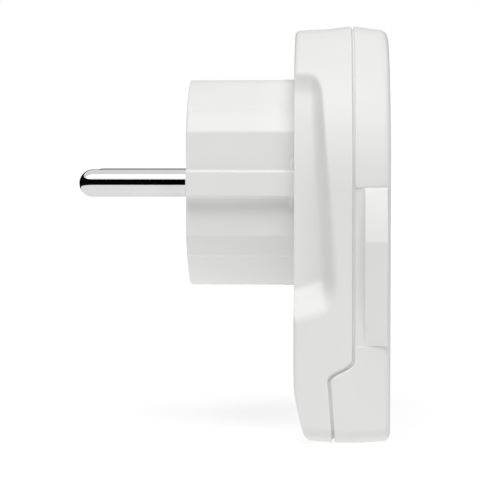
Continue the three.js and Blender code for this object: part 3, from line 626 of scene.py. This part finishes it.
def make_front_shell():
    shell = common(housing_block(0), front_of_seam(SEAM_GAP / 2, -0.15))
    cut(shell, cut(common(housing_block(0.8), rear_of_seam(1.6, -1.4)), grip_zone(GRIP_WALL, 23.1)))
    cut(shell, housing_room())
    for y, z, _ in SCREWS.values():
        back = SEAM_X - 0.6 if z > 0 else 24.5
        boss = rod(back, FRONT_X - WALL + 0.2, BOSS_RADIUS, y, z)
        join(shell, common(boss, housing_block(WALL + GAP)))
        cut(shell, rod(20, SCREW_TIP_X + GAP, SCREW_RADIUS + GAP, y, z, steps=32))
    for side in (-1, 0, 1):
        half = BUTTON_HEIGHT / 2 + GAP
        low, high = BUTTON_Z - half, BUTTON_Z + half
        hole = rounded_rectangle(BUTTON_WIDTH / 2 + GAP, low, high, 1.2, side * BUTTON_PITCH)
        cut(shell, along_x(hole, 30, OUTSIDE))
    tight = 0.1
    seat_heights = (GRIP_BOTTOM + tight, GRIP_TOP - tight)
    seat = block((SEAM_X - 1, GRIP_X1 - tight), (GRIP_SEAT_Y - GAP, OUTSIDE), seat_heights)
    cut(shell, both_sides(seat))
    cut(shell, rod(20, OUTSIDE, WELL_OUTER + GAP, steps=160))
    cut(shell, rod(FRONT_X - WELL_RIM_DEPTH - GAP, OUTSIDE, WELL_RIM_RADIUS + 0.15, steps=160))
    window = rounded_rectangle(WINDOW_HALF + 0.15, WINDOW_BOTTOM - 0.15, WINDOW_TOP + 0.15, 1)
    cut(shell, along_x(window, WINDOW_X0 - GAP, OUTSIDE))
    window = rounded_rectangle(WINDOW_HALF - 1.2, WINDOW_BOTTOM + 1, WINDOW_TOP - 0.8, 0.6)
    cut(shell, along_x(window, 30, OUTSIDE))
    melt_edges(shell)
    return finished(shell, "front_shell_moulding", ROOT, WHITE, ["front_shell"])


def make_grips():
    """The wedge is steep and rounded above its crest and falls straight away below it."""
    panel = block((GRIP_X0, GRIP_X1), (GRIP_SEAT_Y, GRIP_SURFACE), (GRIP_BOTTOM, GRIP_TOP))
    upper = []
    for z in np.linspace(GRIP_CREST_Z, WEDGE_TOP, 15):
        up = float(z) - GRIP_CREST_Z
        upper.append((float(z), GRIP_CREST_Y - WEDGE_SLOPE * up - WEDGE_CURVE * up ** 2))
    root = GRIP_SURFACE - 0.5
    lower = [(WEDGE_BOTTOM, root), (WEDGE_BOTTOM, GRIP_SURFACE + 0.05), WEDGE_KNEE]
    profile = lower + upper + [(WEDGE_TOP, root)]
    rings = []
    for x in (WEDGE_X0, GRIP_X1 - 0.1):
        rings.append([(x, y, z) for z, y in profile])
    wedge = loft(rings)
    corner = [(29.5, -28), (31.4, -28), (31.1, -25.6), (WEDGE_X0, -23.2), (29.5, -23.2)]
    cut(wedge, along_y(corner, 27.6, OUTSIDE))
    grip = join(panel, wedge)
    melt_edges(grip, voxel=VOXEL * 0.6, passes=3, faces=24000)
    twin = mirrored(grip)
    finished(grip, "left_grip", ROOT, WHITE, ["side_grip_left"])
    finished(twin, "right_grip", ROOT, WHITE, ["side_grip_right"])


# ---- Plug ------------------------------------------------------------------------------------

def plug_outline(grown=0.0):
    """The plug from its end: a circle with a flat and a keying rib on each side, and lower crowns."""
    radius, crown_radius = PLUG_RADIUS + grown, PLUG_CROWN_RADIUS + grown
    flat_y, rib_y, rib_half = PLUG_FLAT_Y + grown, PLUG_RIB_Y + grown, PLUG_RIB_HALF + grown
    flat = math.degrees(math.acos(flat_y / radius))
    shoulder = math.degrees(math.asin(PLUG_SHOULDER_Z / radius))
    crown = math.degrees(math.asin(PLUG_SHOULDER_Z / crown_radius))
    points = []
    for side, turn in ((1, 0), (-1, 180)):
        points += arc((0, 0), radius, turn + flat, turn + shoulder, 12)
        points += arc((0, 0), crown_radius, turn + crown, turn + 180 - crown, 80)
        points += arc((0, 0), radius, turn + 180 - shoulder, turn + 180 - flat, 12)
        points += [
            (-side * flat_y, side * rib_half),
            (-side * rib_y, side * rib_half),
            (-side * rib_y, -side * rib_half),
            (-side * flat_y, -side * rib_half),
        ]
    return points


def make_plug_body():
    rim = []
    for i in range(7):
        a = math.radians(90 * i / 6)
        rim.append((PLUG_EDGE * (1 - math.cos(a)), PLUG_RADIUS - PLUG_EDGE * (1 - math.sin(a))))
    rounded_end = turned(rim + [(PLUG_END_X, PLUG_RADIUS + 0.01)], 192)
    body = common(along_x(plug_outline(), 0, PLUG_END_X), rounded_end)
    room = rod(PLUG_FACE, 30, PLUG_ROOM_RADIUS, steps=160)
    common(room, block((PLUG_FACE, 30), (-PLUG_ROOM_HALF, PLUG_ROOM_HALF), (-30, 30)))
    join(body, rod(PLUG_END_X - 1, WELL_BACK_X - GAP, PLUG_SPIGOT_RADIUS, steps=160))
    cut(body, room, rod(PLUG_END_X, 30, PLUG_BORE, steps=160))
    width = (-STRIP_HALF, STRIP_HALF)
    for heights in ((STRIP_FLOOR_Z, 30), (-30, -STRIP_FLOOR_Z)):
        cut(body, block((-1, STRIP_END_X), width, heights))
    for heights in ((STRIP_HOOK_Z, 30), (-30, -STRIP_HOOK_Z)):
        cut(body, block((STRIP_HOOK_X, STRIP_END_X), width, heights))
    cut(body, block((PLUG_END_X, 30), (-SHUNT_HALF, SHUNT_HALF), (-18, -13.2)))
    for side in (-1, 1):
        cut(body, rod(-1, PLUG_FACE + 1, PIN_RADIUS + 0.12, side * PIN_Y, 0))
    melt_edges(body, voxel=VOXEL * 0.9)
    return finished(body, "plug_moulding", ROOT, WHITE, ["plug_body"])


def make_pins():
    dome = []
    for i in range(17):
        a = math.radians(90 * i / 16)
        dome.append((-PIN_LENGTH + PIN_RADIUS * (1 - math.cos(a)), PIN_RADIUS * math.sin(a)))
    shank = [(PLUG_FACE - 0.1, PIN_RADIUS), (PLUG_FACE, PIN_RADIUS - 0.1), (PLUG_FACE, 1.8), (6, 1.8)]
    for name, side in (("live_pin", 1), ("neutral_pin", -1)):
        pin = turned(dome + shank, 96, side * PIN_Y)
        finished(pin, name + "_polished", ROOT, NICKEL, [name], crease=35)


def make_screws():
    for name, (y, z, seat) in SCREWS.items():
        top = seat - SCREW_HEAD
        head = [
            (top, 1.45),
            (top + 0.05, 1.6),
            (top + 0.15, 1.75),
            (top + 0.3, 1.86),
            (top + 0.5, SCREW_HEAD_RADIUS),
            (seat, SCREW_HEAD_RADIUS),
        ]
        thread = [(seat, SCREW_CORE_RADIUS)]
        for i in range(int((SCREW_TIP_X - seat - 1.2) / SCREW_PITCH)):
            start = seat + 0.3 + i * SCREW_PITCH
            thread.append((start, SCREW_CORE_RADIUS))
            thread.append((start + 0.35, SCREW_RADIUS))
            thread.append((start + 0.45, SCREW_RADIUS))
            thread.append((start + 0.8, SCREW_CORE_RADIUS))
        profile = [(top, 0.0)] + head + thread + [(SCREW_TIP_X, 0.4), (SCREW_TIP_X, 0.0)]
        screw = turned(profile, 48, y, z)
        for half_y, half_z in ((1.25, 0.3), (0.3, 1.25)):
            cut(screw, block((top - 1, top + 0.8), (y - half_y, y + half_y), (z - half_z, z + half_z)))
        finished(screw, name + "_turned", ROOT, STEEL, [name], crease=30)


# ---- Socket ----------------------------------------------------------------------------------

def well_rim():
    """The rounded outer edge of the well's rim, as (x, radius) points."""
    edge = WELL_RIM_EDGE
    turns = [math.radians(90 * i / 6) for i in range(7)]
    return [
        (FRONT_X - edge + edge * math.sin(a), WELL_RIM_RADIUS - edge * (1 - math.cos(a)))
        for a in turns
    ]


def well_mouth():
    """The rounded mouth of the well, as (x, radius) points from the front inwards."""
    edge = WELL_MOUTH_EDGE
    turns = [math.radians(90 * i / 8) for i in range(9)]
    return [(FRONT_X - edge * (1 - math.cos(a)), WELL_RADIUS + edge * (1 - math.sin(a))) for a in turns]


def key_rib(side):
    """A keying rib along the top (side 1) or the bottom (side -1) of the well."""
    back = WELL_FLOOR_X - 0.3
    shoulder = KEY_RIB_X - KEY_RIB_CHAMFER
    narrow = KEY_RIB_HALF - KEY_RIB_CHAMFER
    outline = [
        (back, -KEY_RIB_HALF),
        (shoulder, -KEY_RIB_HALF),
        (KEY_RIB_X, -narrow),
        (KEY_RIB_X, narrow),
        (shoulder, KEY_RIB_HALF),
        (back, KEY_RIB_HALF),
    ]
    return along_z(outline, *sorted(side * z for z in KEY_RIB_Z))


def make_socket_insert():
    outside = [
        (SPIGOT_X, SPIGOT_RADIUS),
        (WELL_BACK_X, SPIGOT_RADIUS),
        (WELL_BACK_X, WELL_OUTER),
        (FRONT_X - WELL_RIM_DEPTH, WELL_OUTER),
        (FRONT_X - WELL_RIM_DEPTH, WELL_RIM_RADIUS),
    ]
    insert = turned(outside + well_rim(), 192)
    floor_corner = (WELL_FLOOR_X, WELL_RADIUS)
    beyond = (OUTSIDE, WELL_RADIUS + WELL_MOUTH_EDGE)
    cut(insert, turned([floor_corner] + well_mouth()[::-1] + [beyond], 192))
    for side in (-1, 1):
        join(insert, key_rib(side))
        tail = sorted((side * (TAIL_Y - TAIL_HALF_THICK), side * (TAIL_Y + TAIL_HALF_THICK)))
        cut(insert, block((10, 30), tail, (-TAIL_HALF, TAIL_HALF)))
        clip = sorted((side * (WELL_RADIUS - 1), side * (WELL_RADIUS + GAP)))
        cut(insert, block((WELL_FLOOR_X, CLIP_SLOT_X), clip, (-CLIP_SLOT_HALF, CLIP_SLOT_HALF)))
        cut(insert, flared_hole(10, WELL_FLOOR_X, PIN_HOLE_RADIUS, 0, side * PIN_HOLE_Z, 0.5, 1))
    cut(insert, block((10, 21), (-SHUNT_HALF, SHUNT_HALF), (-30, -13.2)))
    melt_edges(insert)
    return finished(insert, "socket_moulding", ROOT, WHITE, ["socket_insert"])


# ---- Window, display and buttons -------------------------------------------------------------

def edge_stations(x0, x1, back, front, steps=5):
    """Stations along X with rounded edges of radius back at x0 and front at x1."""
    turns = [math.radians(90 * i / steps) for i in range(steps + 1)]
    start = [(x0 + back * (1 - math.cos(a)), back * (1 - math.sin(a))) for a in turns]
    end = [(x1 - front * (1 - math.sin(a)), front * (1 - math.cos(a))) for a in turns]
    return start + end


def window_outline(inset):
    low, high = WINDOW_BOTTOM + inset, WINDOW_TOP - inset
    return rounded_rectangle(WINDOW_HALF - inset, low, high, 0.85 - inset * 0.8)


def make_window():
    """The clear lens and the border printed on its back."""
    stations = edge_stations(WINDOW_X0, FRONT_X - 0.15, 0.05, 0.2)
    lens = loft([[(x, *p) for p in window_outline(inset)] for x, inset in stations])
    finished(lens, "window_lens", ROOT, WINDOW, ["display_window"])
    border = rounded_rectangle(WINDOW_HALF - 0.2, WINDOW_BOTTOM + 0.2, WINDOW_TOP - 0.2, 0.7)
    mask = along_x(border, *MASK_X)
    opening = rounded_rectangle(MASK_OPENING_HALF, WINDOW_BOTTOM + 1.7, WINDOW_TOP - 1.5, 0.6)
    cut(mask, along_x(opening, 33, 34))
    finished(mask, "window_border", ROOT, PRINTED_BORDER)


# The lit bars of each digit shown: a at the top, clockwise to f at the upper left, g in the middle
SEGMENTS = {"0": "abcdef", "2": "abged", "3": "abgcd", "4": "fgbc"}


def segment(kind, centre_y, low_z):
    """One bar of a seven-bar digit, as a six-sided outline, seen from the front of the meter."""
    half = BAR_THICK / 2
    left, right = centre_y - DIGIT_WIDTH / 2, centre_y + DIGIT_WIDTH / 2
    rows = {"a": low_z + DIGIT_HEIGHT, "g": low_z + DIGIT_HEIGHT / 2, "d": low_z}
    shrink = BAR_THICK * 0.62
    if kind in rows:
        z = rows[kind]
        y0, y1 = left + shrink, right - shrink
        return [
            (y0, z),
            (y0 + half, z - half),
            (y1 - half, z - half),
            (y1, z),
            (y1 - half, z + half),
            (y0 + half, z + half),
        ]
    y = left if kind in "ef" else right
    low, high = (rows["d"], rows["g"]) if kind in "ec" else (rows["g"], rows["a"])
    z0, z1 = low + shrink, high - shrink
    return [
        (y, z0),
        (y + half, z0 + half),
        (y + half, z1 - half),
        (y, z1),
        (y - half, z1 - half),
        (y - half, z0 + half),
    ]


def make_digits():
    """Four plain digits of a reading and a decimal point, as thin bars on the display's glass."""
    x0, x1 = DIGIT_X
    low = (WINDOW_TOP + WINDOW_BOTTOM) / 2 - DIGIT_HEIGHT / 2
    bars = []
    for place, digit in enumerate(READING):
        centre = FIRST_DIGIT_Y + place * DIGIT_PITCH
        for kind in SEGMENTS[digit]:
            bars.append(segment(kind, centre, low))
    point_y, dot = FIRST_DIGIT_Y + POINT_PLACE * DIGIT_PITCH, POINT_HALF
    square = ((-dot, -dot), (dot, -dot), (dot, dot), (-dot, dot))
    bars.append([(point_y + dy, low + dz) for dy, dz in square])
    points, faces = [], []
    for bar in bars:
        base, count = len(points), len(bar)
        points += [(x0, y, z) for y, z in bar] + [(x1, y, z) for y, z in bar]
        faces.append(tuple(base + i for i in reversed(range(count))))
        faces.append(tuple(base + count + i for i in range(count)))
        for i in range(count):
            j = (i + 1) % count
            faces.append((base + i, base + j, base + count + j, base + count + i))
    digits = new_object("digits", points, faces)
    make_outward(digits.data)
    finished(digits, "display_digits", ROOT, DIGIT, crease=20)


def button_outline(inset, y):
    half_width = BUTTON_WIDTH / 2 - inset
    half = BUTTON_HEIGHT / 2 - inset
    return rounded_rectangle(half_width, BUTTON_Z - half, BUTTON_Z + half, 0.95 - inset * 0.6, y)


def make_buttons():
    """Three caps, each with a flange behind the front shell and a mark sunk into its face."""
    marks = {"right_button": "up", "middle_button": "dot", "left_button": "down"}
    for i, name in enumerate(marks):
        y = (i - 1) * BUTTON_PITCH
        stations = edge_stations(32, BUTTON_FRONT_X, 0.05, 0.4)
        cap = loft([[(x, *p) for p in button_outline(inset, y)] for x, inset in stations])
        half = BUTTON_HEIGHT / 2 + 0.4
        edge = rounded_rectangle(BUTTON_WIDTH / 2 + 0.7, BUTTON_Z - half, BUTTON_Z + half, 0.9, y)
        join(cap, along_x(edge, BUTTON_BACK_X, BUTTON_FLANGE_X))
        cut(cap, button_mark(marks[name], y))
        finished(cap, name + "_cap", name, BUTTON, [name], crease=30)


def button_mark(kind, y):
    """The cutter for a small sunk mark on a button: a triangle or a dot."""
    x0, x1 = BUTTON_FRONT_X - MARK_DEPTH, BUTTON_FRONT_X + 1
    if kind == "dot":
        return rod(x0, x1, 0.55, y, BUTTON_Z, steps=32)
    way = 1 if kind == "up" else -1
    base_z = BUTTON_Z - way * 0.5
    return along_x([(y - 0.75, base_z), (y + 0.75, base_z), (y, BUTTON_Z + way * 0.7)], x0, x1)


# ---- Materials -------------------------------------------------------------------------------

class Nodes:
    """A short way to write a material's nodes."""

    def __init__(self, name):
        self.material = bpy.data.materials.new(name)
        self.material.use_nodes = True
        self.tree = self.material.node_tree
        self.shader = self.tree.nodes["Principled BSDF"]
        self.position = self.add("ShaderNodeNewGeometry").outputs["Position"]

    def add(self, kind, **settings):
        node = self.tree.nodes.new(kind)
        for key, value in settings.items():
            setattr(node, key, value)
        return node

    def link(self, source, target):
        self.tree.links.new(source, target)

    def noise(self, scale, detail=3.0, rough=0.5):
        node = self.add("ShaderNodeTexNoise")
        node.inputs["Scale"].default_value = scale
        node.inputs["Detail"].default_value = detail
        node.inputs["Roughness"].default_value = rough
        self.link(self.position, node.inputs["Vector"])
        return node.outputs["Fac"]

    def spread(self, source, low, high, start=0.3, end=0.7):
        node = self.add("ShaderNodeMapRange")
        node.inputs["From Min"].default_value = start
        node.inputs["From Max"].default_value = end
        node.inputs["To Min"].default_value = low
        node.inputs["To Max"].default_value = high
        self.link(source, node.inputs["Value"])
        return node.outputs["Result"]

    def tint(self, source, first, second):
        node = self.add("ShaderNodeValToRGB")
        node.color_ramp.elements[0].position = 0.35
        node.color_ramp.elements[1].position = 0.65
        node.color_ramp.elements[0].color = (*first, 1)
        node.color_ramp.elements[1].color = (*second, 1)
        self.link(source, node.inputs["Fac"])
        self.link(node.outputs["Color"], self.shader.inputs["Base Color"])

    def bump(self, source, strength, distance, after=None):
        node = self.add("ShaderNodeBump")
        node.inputs["Strength"].default_value = strength
        node.inputs["Distance"].default_value = distance
        self.link(source, node.inputs["Height"])
        if after:
            self.link(after, node.inputs["Normal"])
        self.link(node.outputs["Normal"], self.shader.inputs["Normal"])
        return node.outputs["Normal"]

    def settings(self, **values):
        for key, value in values.items():
            self.shader.inputs[key.replace("_", " ")].default_value = value


def moulded_plastic(name, first, second, low, high, grain=9000, depth=0.00001, strength=0.25):
    """Moulded plastic: slight colour drift, patchy gloss and the fine grain of its tool."""
    n = Nodes(name)
    n.tint(n.noise(60, 2), first, second)
    n.link(n.spread(n.noise(350, 4), low, high), n.shader.inputs["Roughness"])
    drift = n.bump(n.noise(120, 1), 0.06, 0.0002)
    n.bump(n.noise(grain, 2), strength, depth, after=drift)
    return n


def make_white():
    n = moulded_plastic("white_plastic", (0.782, 0.781, 0.770), (0.797, 0.797, 0.788), 0.36, 0.46)
    n.settings(IOR=1.5, Specular_IOR_Level=0.3)
    return n.material


def make_nickel():
    """Polished plating, with faint turning lines round the pin and a few soft smears."""
    n = Nodes("nickel")
    n.tint(n.noise(90, 3), (0.67, 0.67, 0.675), (0.71, 0.71, 0.71))
    n.settings(Metallic=1.0)
    n.link(n.spread(n.noise(500, 5), 0.03, 0.07), n.shader.inputs["Roughness"])
    stretch = n.add("ShaderNodeMapping")
    stretch.inputs["Scale"].default_value = (9000, 60, 60)
    n.link(n.position, stretch.inputs["Vector"])
    lines = n.add("ShaderNodeTexNoise")
    lines.inputs["Scale"].default_value = 1.0
    n.link(stretch.outputs["Vector"], lines.inputs["Vector"])
    n.bump(lines.outputs["Fac"], 0.12, 0.000004)
    return n.material


def make_metal(name, first, second, low, high, scratch=2500):
    """Stamped metal with directional scratches."""
    n = Nodes(name)
    n.tint(n.noise(150, 4), first, second)
    n.settings(Metallic=1.0)
    stretch = n.add("ShaderNodeMapping")
    stretch.inputs["Scale"].default_value = (scratch * 0.05, scratch, scratch)
    n.link(n.position, stretch.inputs["Vector"])
    lines = n.add("ShaderNodeTexNoise")
    lines.inputs["Scale"].default_value = 1.0
    lines.inputs["Detail"].default_value = 4.0
    n.link(stretch.outputs["Vector"], lines.inputs["Vector"])
    n.link(n.spread(lines.outputs["Fac"], low, high), n.shader.inputs["Roughness"])
    n.bump(lines.outputs["Fac"], 0.25, 0.000008)
    return n.material


def make_board_material():
    """Solder mask with copper tracks just showing under it."""
    n = Nodes("solder_mask")
    tracks = n.add("ShaderNodeTexBrick")
    tracks.inputs["Scale"].default_value = 260
    tracks.inputs["Mortar Size"].default_value = 0.04
    tracks.inputs["Color1"].default_value = (0.012, 0.085, 0.035, 1)
    tracks.inputs["Color2"].default_value = (0.010, 0.070, 0.030, 1)
    tracks.inputs["Mortar"].default_value = (0.035, 0.16, 0.06, 1)
    turn = n.add("ShaderNodeMapping")
    turn.inputs["Rotation"].default_value = (0, math.radians(90), 0)
    n.link(n.position, turn.inputs["Vector"])
    n.link(turn.outputs["Vector"], tracks.inputs["Vector"])
    n.link(tracks.outputs["Color"], n.shader.inputs["Base Color"])
    n.link(n.spread(n.noise(700, 3), 0.28, 0.42), n.shader.inputs["Roughness"])
    n.bump(tracks.outputs["Fac"], 0.3, 0.00003)
    return n.material


def make_lcd_material():
    """Grey green display glass, with a fine grid of liquid crystal cells."""
    n = Nodes("lcd_glass")
    n.tint(n.noise(200, 2), (0.30, 0.335, 0.275), (0.32, 0.355, 0.295))
    n.link(n.spread(n.noise(1500, 2), 0.12, 0.2), n.shader.inputs["Roughness"])
    n.settings(Coat_Weight=0.4, Coat_Roughness=0.08)
    n.bump(n.noise(20000, 1), 0.1, 0.000004)
    return n.material


def make_window_material():
    """Clear polished plastic with faint wipe marks."""
    n = Nodes("clear_window")
    n.settings(Transmission_Weight=1.0, IOR=1.49)
    n.tint(n.noise(60, 1), (0.96, 0.97, 0.965), (0.98, 0.985, 0.98))
    n.link(n.spread(n.noise(400, 4), 0.02, 0.07), n.shader.inputs["Roughness"])
    return n.material


def plain_plastic(name, first, second, roughness, grain=9000):
    return moulded_plastic(name, first, second, *roughness, grain=grain).material


WHITE = make_white()
NICKEL = make_nickel()
STEEL = make_metal("zinc_steel", (0.46, 0.47, 0.48), (0.56, 0.57, 0.575), 0.22, 0.42)
BRASS = make_metal("stamped_brass", (0.60, 0.42, 0.16), (0.68, 0.50, 0.22), 0.2, 0.38)
INSULATOR = plain_plastic(
    "insulator", (0.018, 0.018, 0.02), (0.028, 0.028, 0.03), (0.5, 0.65), grain=5000
)
BOARD = make_board_material()
YELLOW = plain_plastic("capacitor_case", (0.62, 0.34, 0.02), (0.70, 0.40, 0.03), (0.35, 0.5), grain=5000)
SLEEVE = plain_plastic("component_sleeve", (0.010, 0.010, 0.013), (0.018, 0.018, 0.022), (0.25, 0.4))
LCD = make_lcd_material()
WINDOW = make_window_material()
PRINTED_BORDER = plain_plastic(
    "printed_border", (0.075, 0.078, 0.082), (0.09, 0.093, 0.097), (0.35, 0.5)
)
DIGIT = plain_plastic("display_ink", (0.012, 0.014, 0.013), (0.02, 0.022, 0.021), (0.4, 0.55))
RUBBER = plain_plastic("silicone", (0.20, 0.205, 0.21), (0.23, 0.235, 0.24), (0.6, 0.75), grain=6000)
BUTTON = plain_plastic(
    "button_plastic", (0.17, 0.175, 0.18), (0.195, 0.2, 0.205), (0.38, 0.5), grain=7000
)

CAD_FINISHES = {
    "nickel": NICKEL,
    "brass": BRASS,
    "steel": STEEL,
    "insulator": INSULATOR,
    "board": BOARD,
    "capacitor_case": YELLOW,
    "component_sleeve": SLEEVE,
    "lcd": LCD,
    "clear_window": WINDOW,
    "silicone": RUBBER,
    "button_cap": BUTTON,
    "white_plastic": WHITE,
}


def finish_cad_nodes():
    """Gives every CAD piece that is carried over the material of its slot."""
    for row in frame["record"]["subparts"]:
        node = frame["nodes"].get(row["node"])
        if node is None:
            continue
        finish = CAD_FINISHES[row["material_slot"]]
        if not node.material_slots:
            node.data.materials.append(finish)
        for slot in node.material_slots:
            slot.material = finish


# ---- Stage -----------------------------------------------------------------------------------

def make_camera():
    data = bpy.data.cameras.new("camera")
    camera = bpy.data.objects.new("camera", data)
    bpy.context.collection.objects.link(camera)
    bpy.context.scene.camera = camera
    data.sensor_width = 36
    data.lens = CAMERA_LENS
    data.clip_start = 0.01
    camera.location = CAMERA_PLACE
    camera.rotation_mode = "QUATERNION"
    camera.rotation_quaternion = (Vector(CAMERA_AIM) - camera.location).to_track_quat("-Z", "Y")


def make_world():
    """A white studio: its light is softer than the white that shows behind the meter."""
    world = bpy.data.worlds.new("studio")
    bpy.context.scene.world = world
    world.use_nodes = True
    tree = world.node_tree
    seen = tree.nodes["Background"]
    seen.inputs["Strength"].default_value = 1.0
    seen.inputs["Color"].default_value = (1, 1, 1, 1)
    lighting = tree.nodes.new("ShaderNodeBackground")
    lighting.inputs["Color"].default_value = (0.985, 0.99, 1, 1)
    lighting.inputs["Strength"].default_value = WORLD_LIGHTING
    glossy = tree.nodes.new("ShaderNodeBackground")
    glossy.inputs["Color"].default_value = (1, 1, 1, 1)
    glossy.inputs["Strength"].default_value = WORLD_REFLECTED
    rays = tree.nodes.new("ShaderNodeLightPath")
    first = tree.nodes.new("ShaderNodeMixShader")
    second = tree.nodes.new("ShaderNodeMixShader")
    tree.links.new(rays.outputs["Is Glossy Ray"], first.inputs[0])
    tree.links.new(lighting.outputs[0], first.inputs[1])
    tree.links.new(glossy.outputs[0], first.inputs[2])
    tree.links.new(rays.outputs["Is Camera Ray"], second.inputs[0])
    tree.links.new(first.outputs[0], second.inputs[1])
    tree.links.new(seen.outputs[0], second.inputs[2])
    tree.links.new(second.outputs[0], tree.nodes["World Output"].inputs["Surface"])
    bpy.context.scene.view_settings.view_transform = "Standard"


def make_overhead():
    """One broad lamp, high over the meter's right side."""
    data = bpy.data.lights.new("overhead", "SUN")
    data.energy = SUN_STRENGTH
    data.angle = math.radians(SUN_ANGLE)
    lamp = bpy.data.objects.new("overhead", data)
    bpy.context.collection.objects.link(lamp)
    lamp.rotation_mode = "QUATERNION"
    lamp.rotation_quaternion = Vector(SUN_DIRECTION).to_track_quat("-Z", "Y")
    lamp.visible_glossy = False


def make_softbox():
    """A softbox that shows as the bright band along polished metal."""
    data = bpy.data.lights.new("softbox", "AREA")
    data.shape = "RECTANGLE"
    data.size, data.size_y = SOFTBOX_SIZE
    data.energy = SOFTBOX_POWER
    lamp = bpy.data.objects.new("softbox", data)
    bpy.context.collection.objects.link(lamp)
    lamp.location = SOFTBOX_PLACE
    lamp.rotation_mode = "QUATERNION"
    lamp.rotation_quaternion = (-lamp.location).to_track_quat("-Z", "Y")
    lamp.visible_diffuse = False
    lamp.visible_camera = False


def make_flags(low):
    """A dark ring round the studio that only polished surfaces see, from the floor to head height."""
    ring = ring_points(FLAG_RADIUS, 96)
    points = [(x, y, low + 0.0002) for x, y in ring] + [(x, y, FLAG_TOP) for x, y in ring]
    count = len(ring)
    faces = [(i, (i + 1) % count, count + (i + 1) % count, count + i) for i in range(count)]
    flags = new_object("flags", points, faces)
    n = Nodes("black_cloth")
    n.tint(n.noise(30, 2), (0.002, 0.002, 0.002), (0.003, 0.003, 0.003))
    n.link(n.spread(n.noise(3000, 2), 0.9, 1.0), n.shader.inputs["Roughness"])
    n.settings(Specular_IOR_Level=0.0)
    flags.data.materials.append(n.material)
    flags.visible_camera = False
    flags.visible_diffuse = False
    flags.visible_shadow = False
    flags.visible_transmission = False


def make_floor(low):
    """A plain pale sheet of paper, just under the meter."""
    size = FLOOR_HALF
    corners = [(-size, -size, low), (size, -size, low), (size, size, low), (-size, size, low)]
    floor = new_object("floor", corners, [(0, 1, 2, 3)])
    n = Nodes("floor_paper")
    n.tint(n.noise(8, 2), (0.22, 0.22, 0.22), (0.23, 0.23, 0.23))
    n.link(n.spread(n.noise(300, 3), 0.8, 0.95), n.shader.inputs["Roughness"])
    n.settings(Emission_Color=(1, 1, 1, 1), Emission_Strength=FLOOR_GLOW)
    floor.data.materials.append(n.material)


def make_stage():
    low = cad_low[2] - FLOOR_DROP
    make_world()
    make_overhead()
    make_softbox()
    make_flags(low)
    make_floor(low)


make_camera()
make_stage()
make_rear_shell()
make_front_shell()
make_grips()
make_plug_body()
make_pins()
make_screws()
make_socket_insert()
make_window()
make_digits()
make_buttons()
finish_cad_nodes()
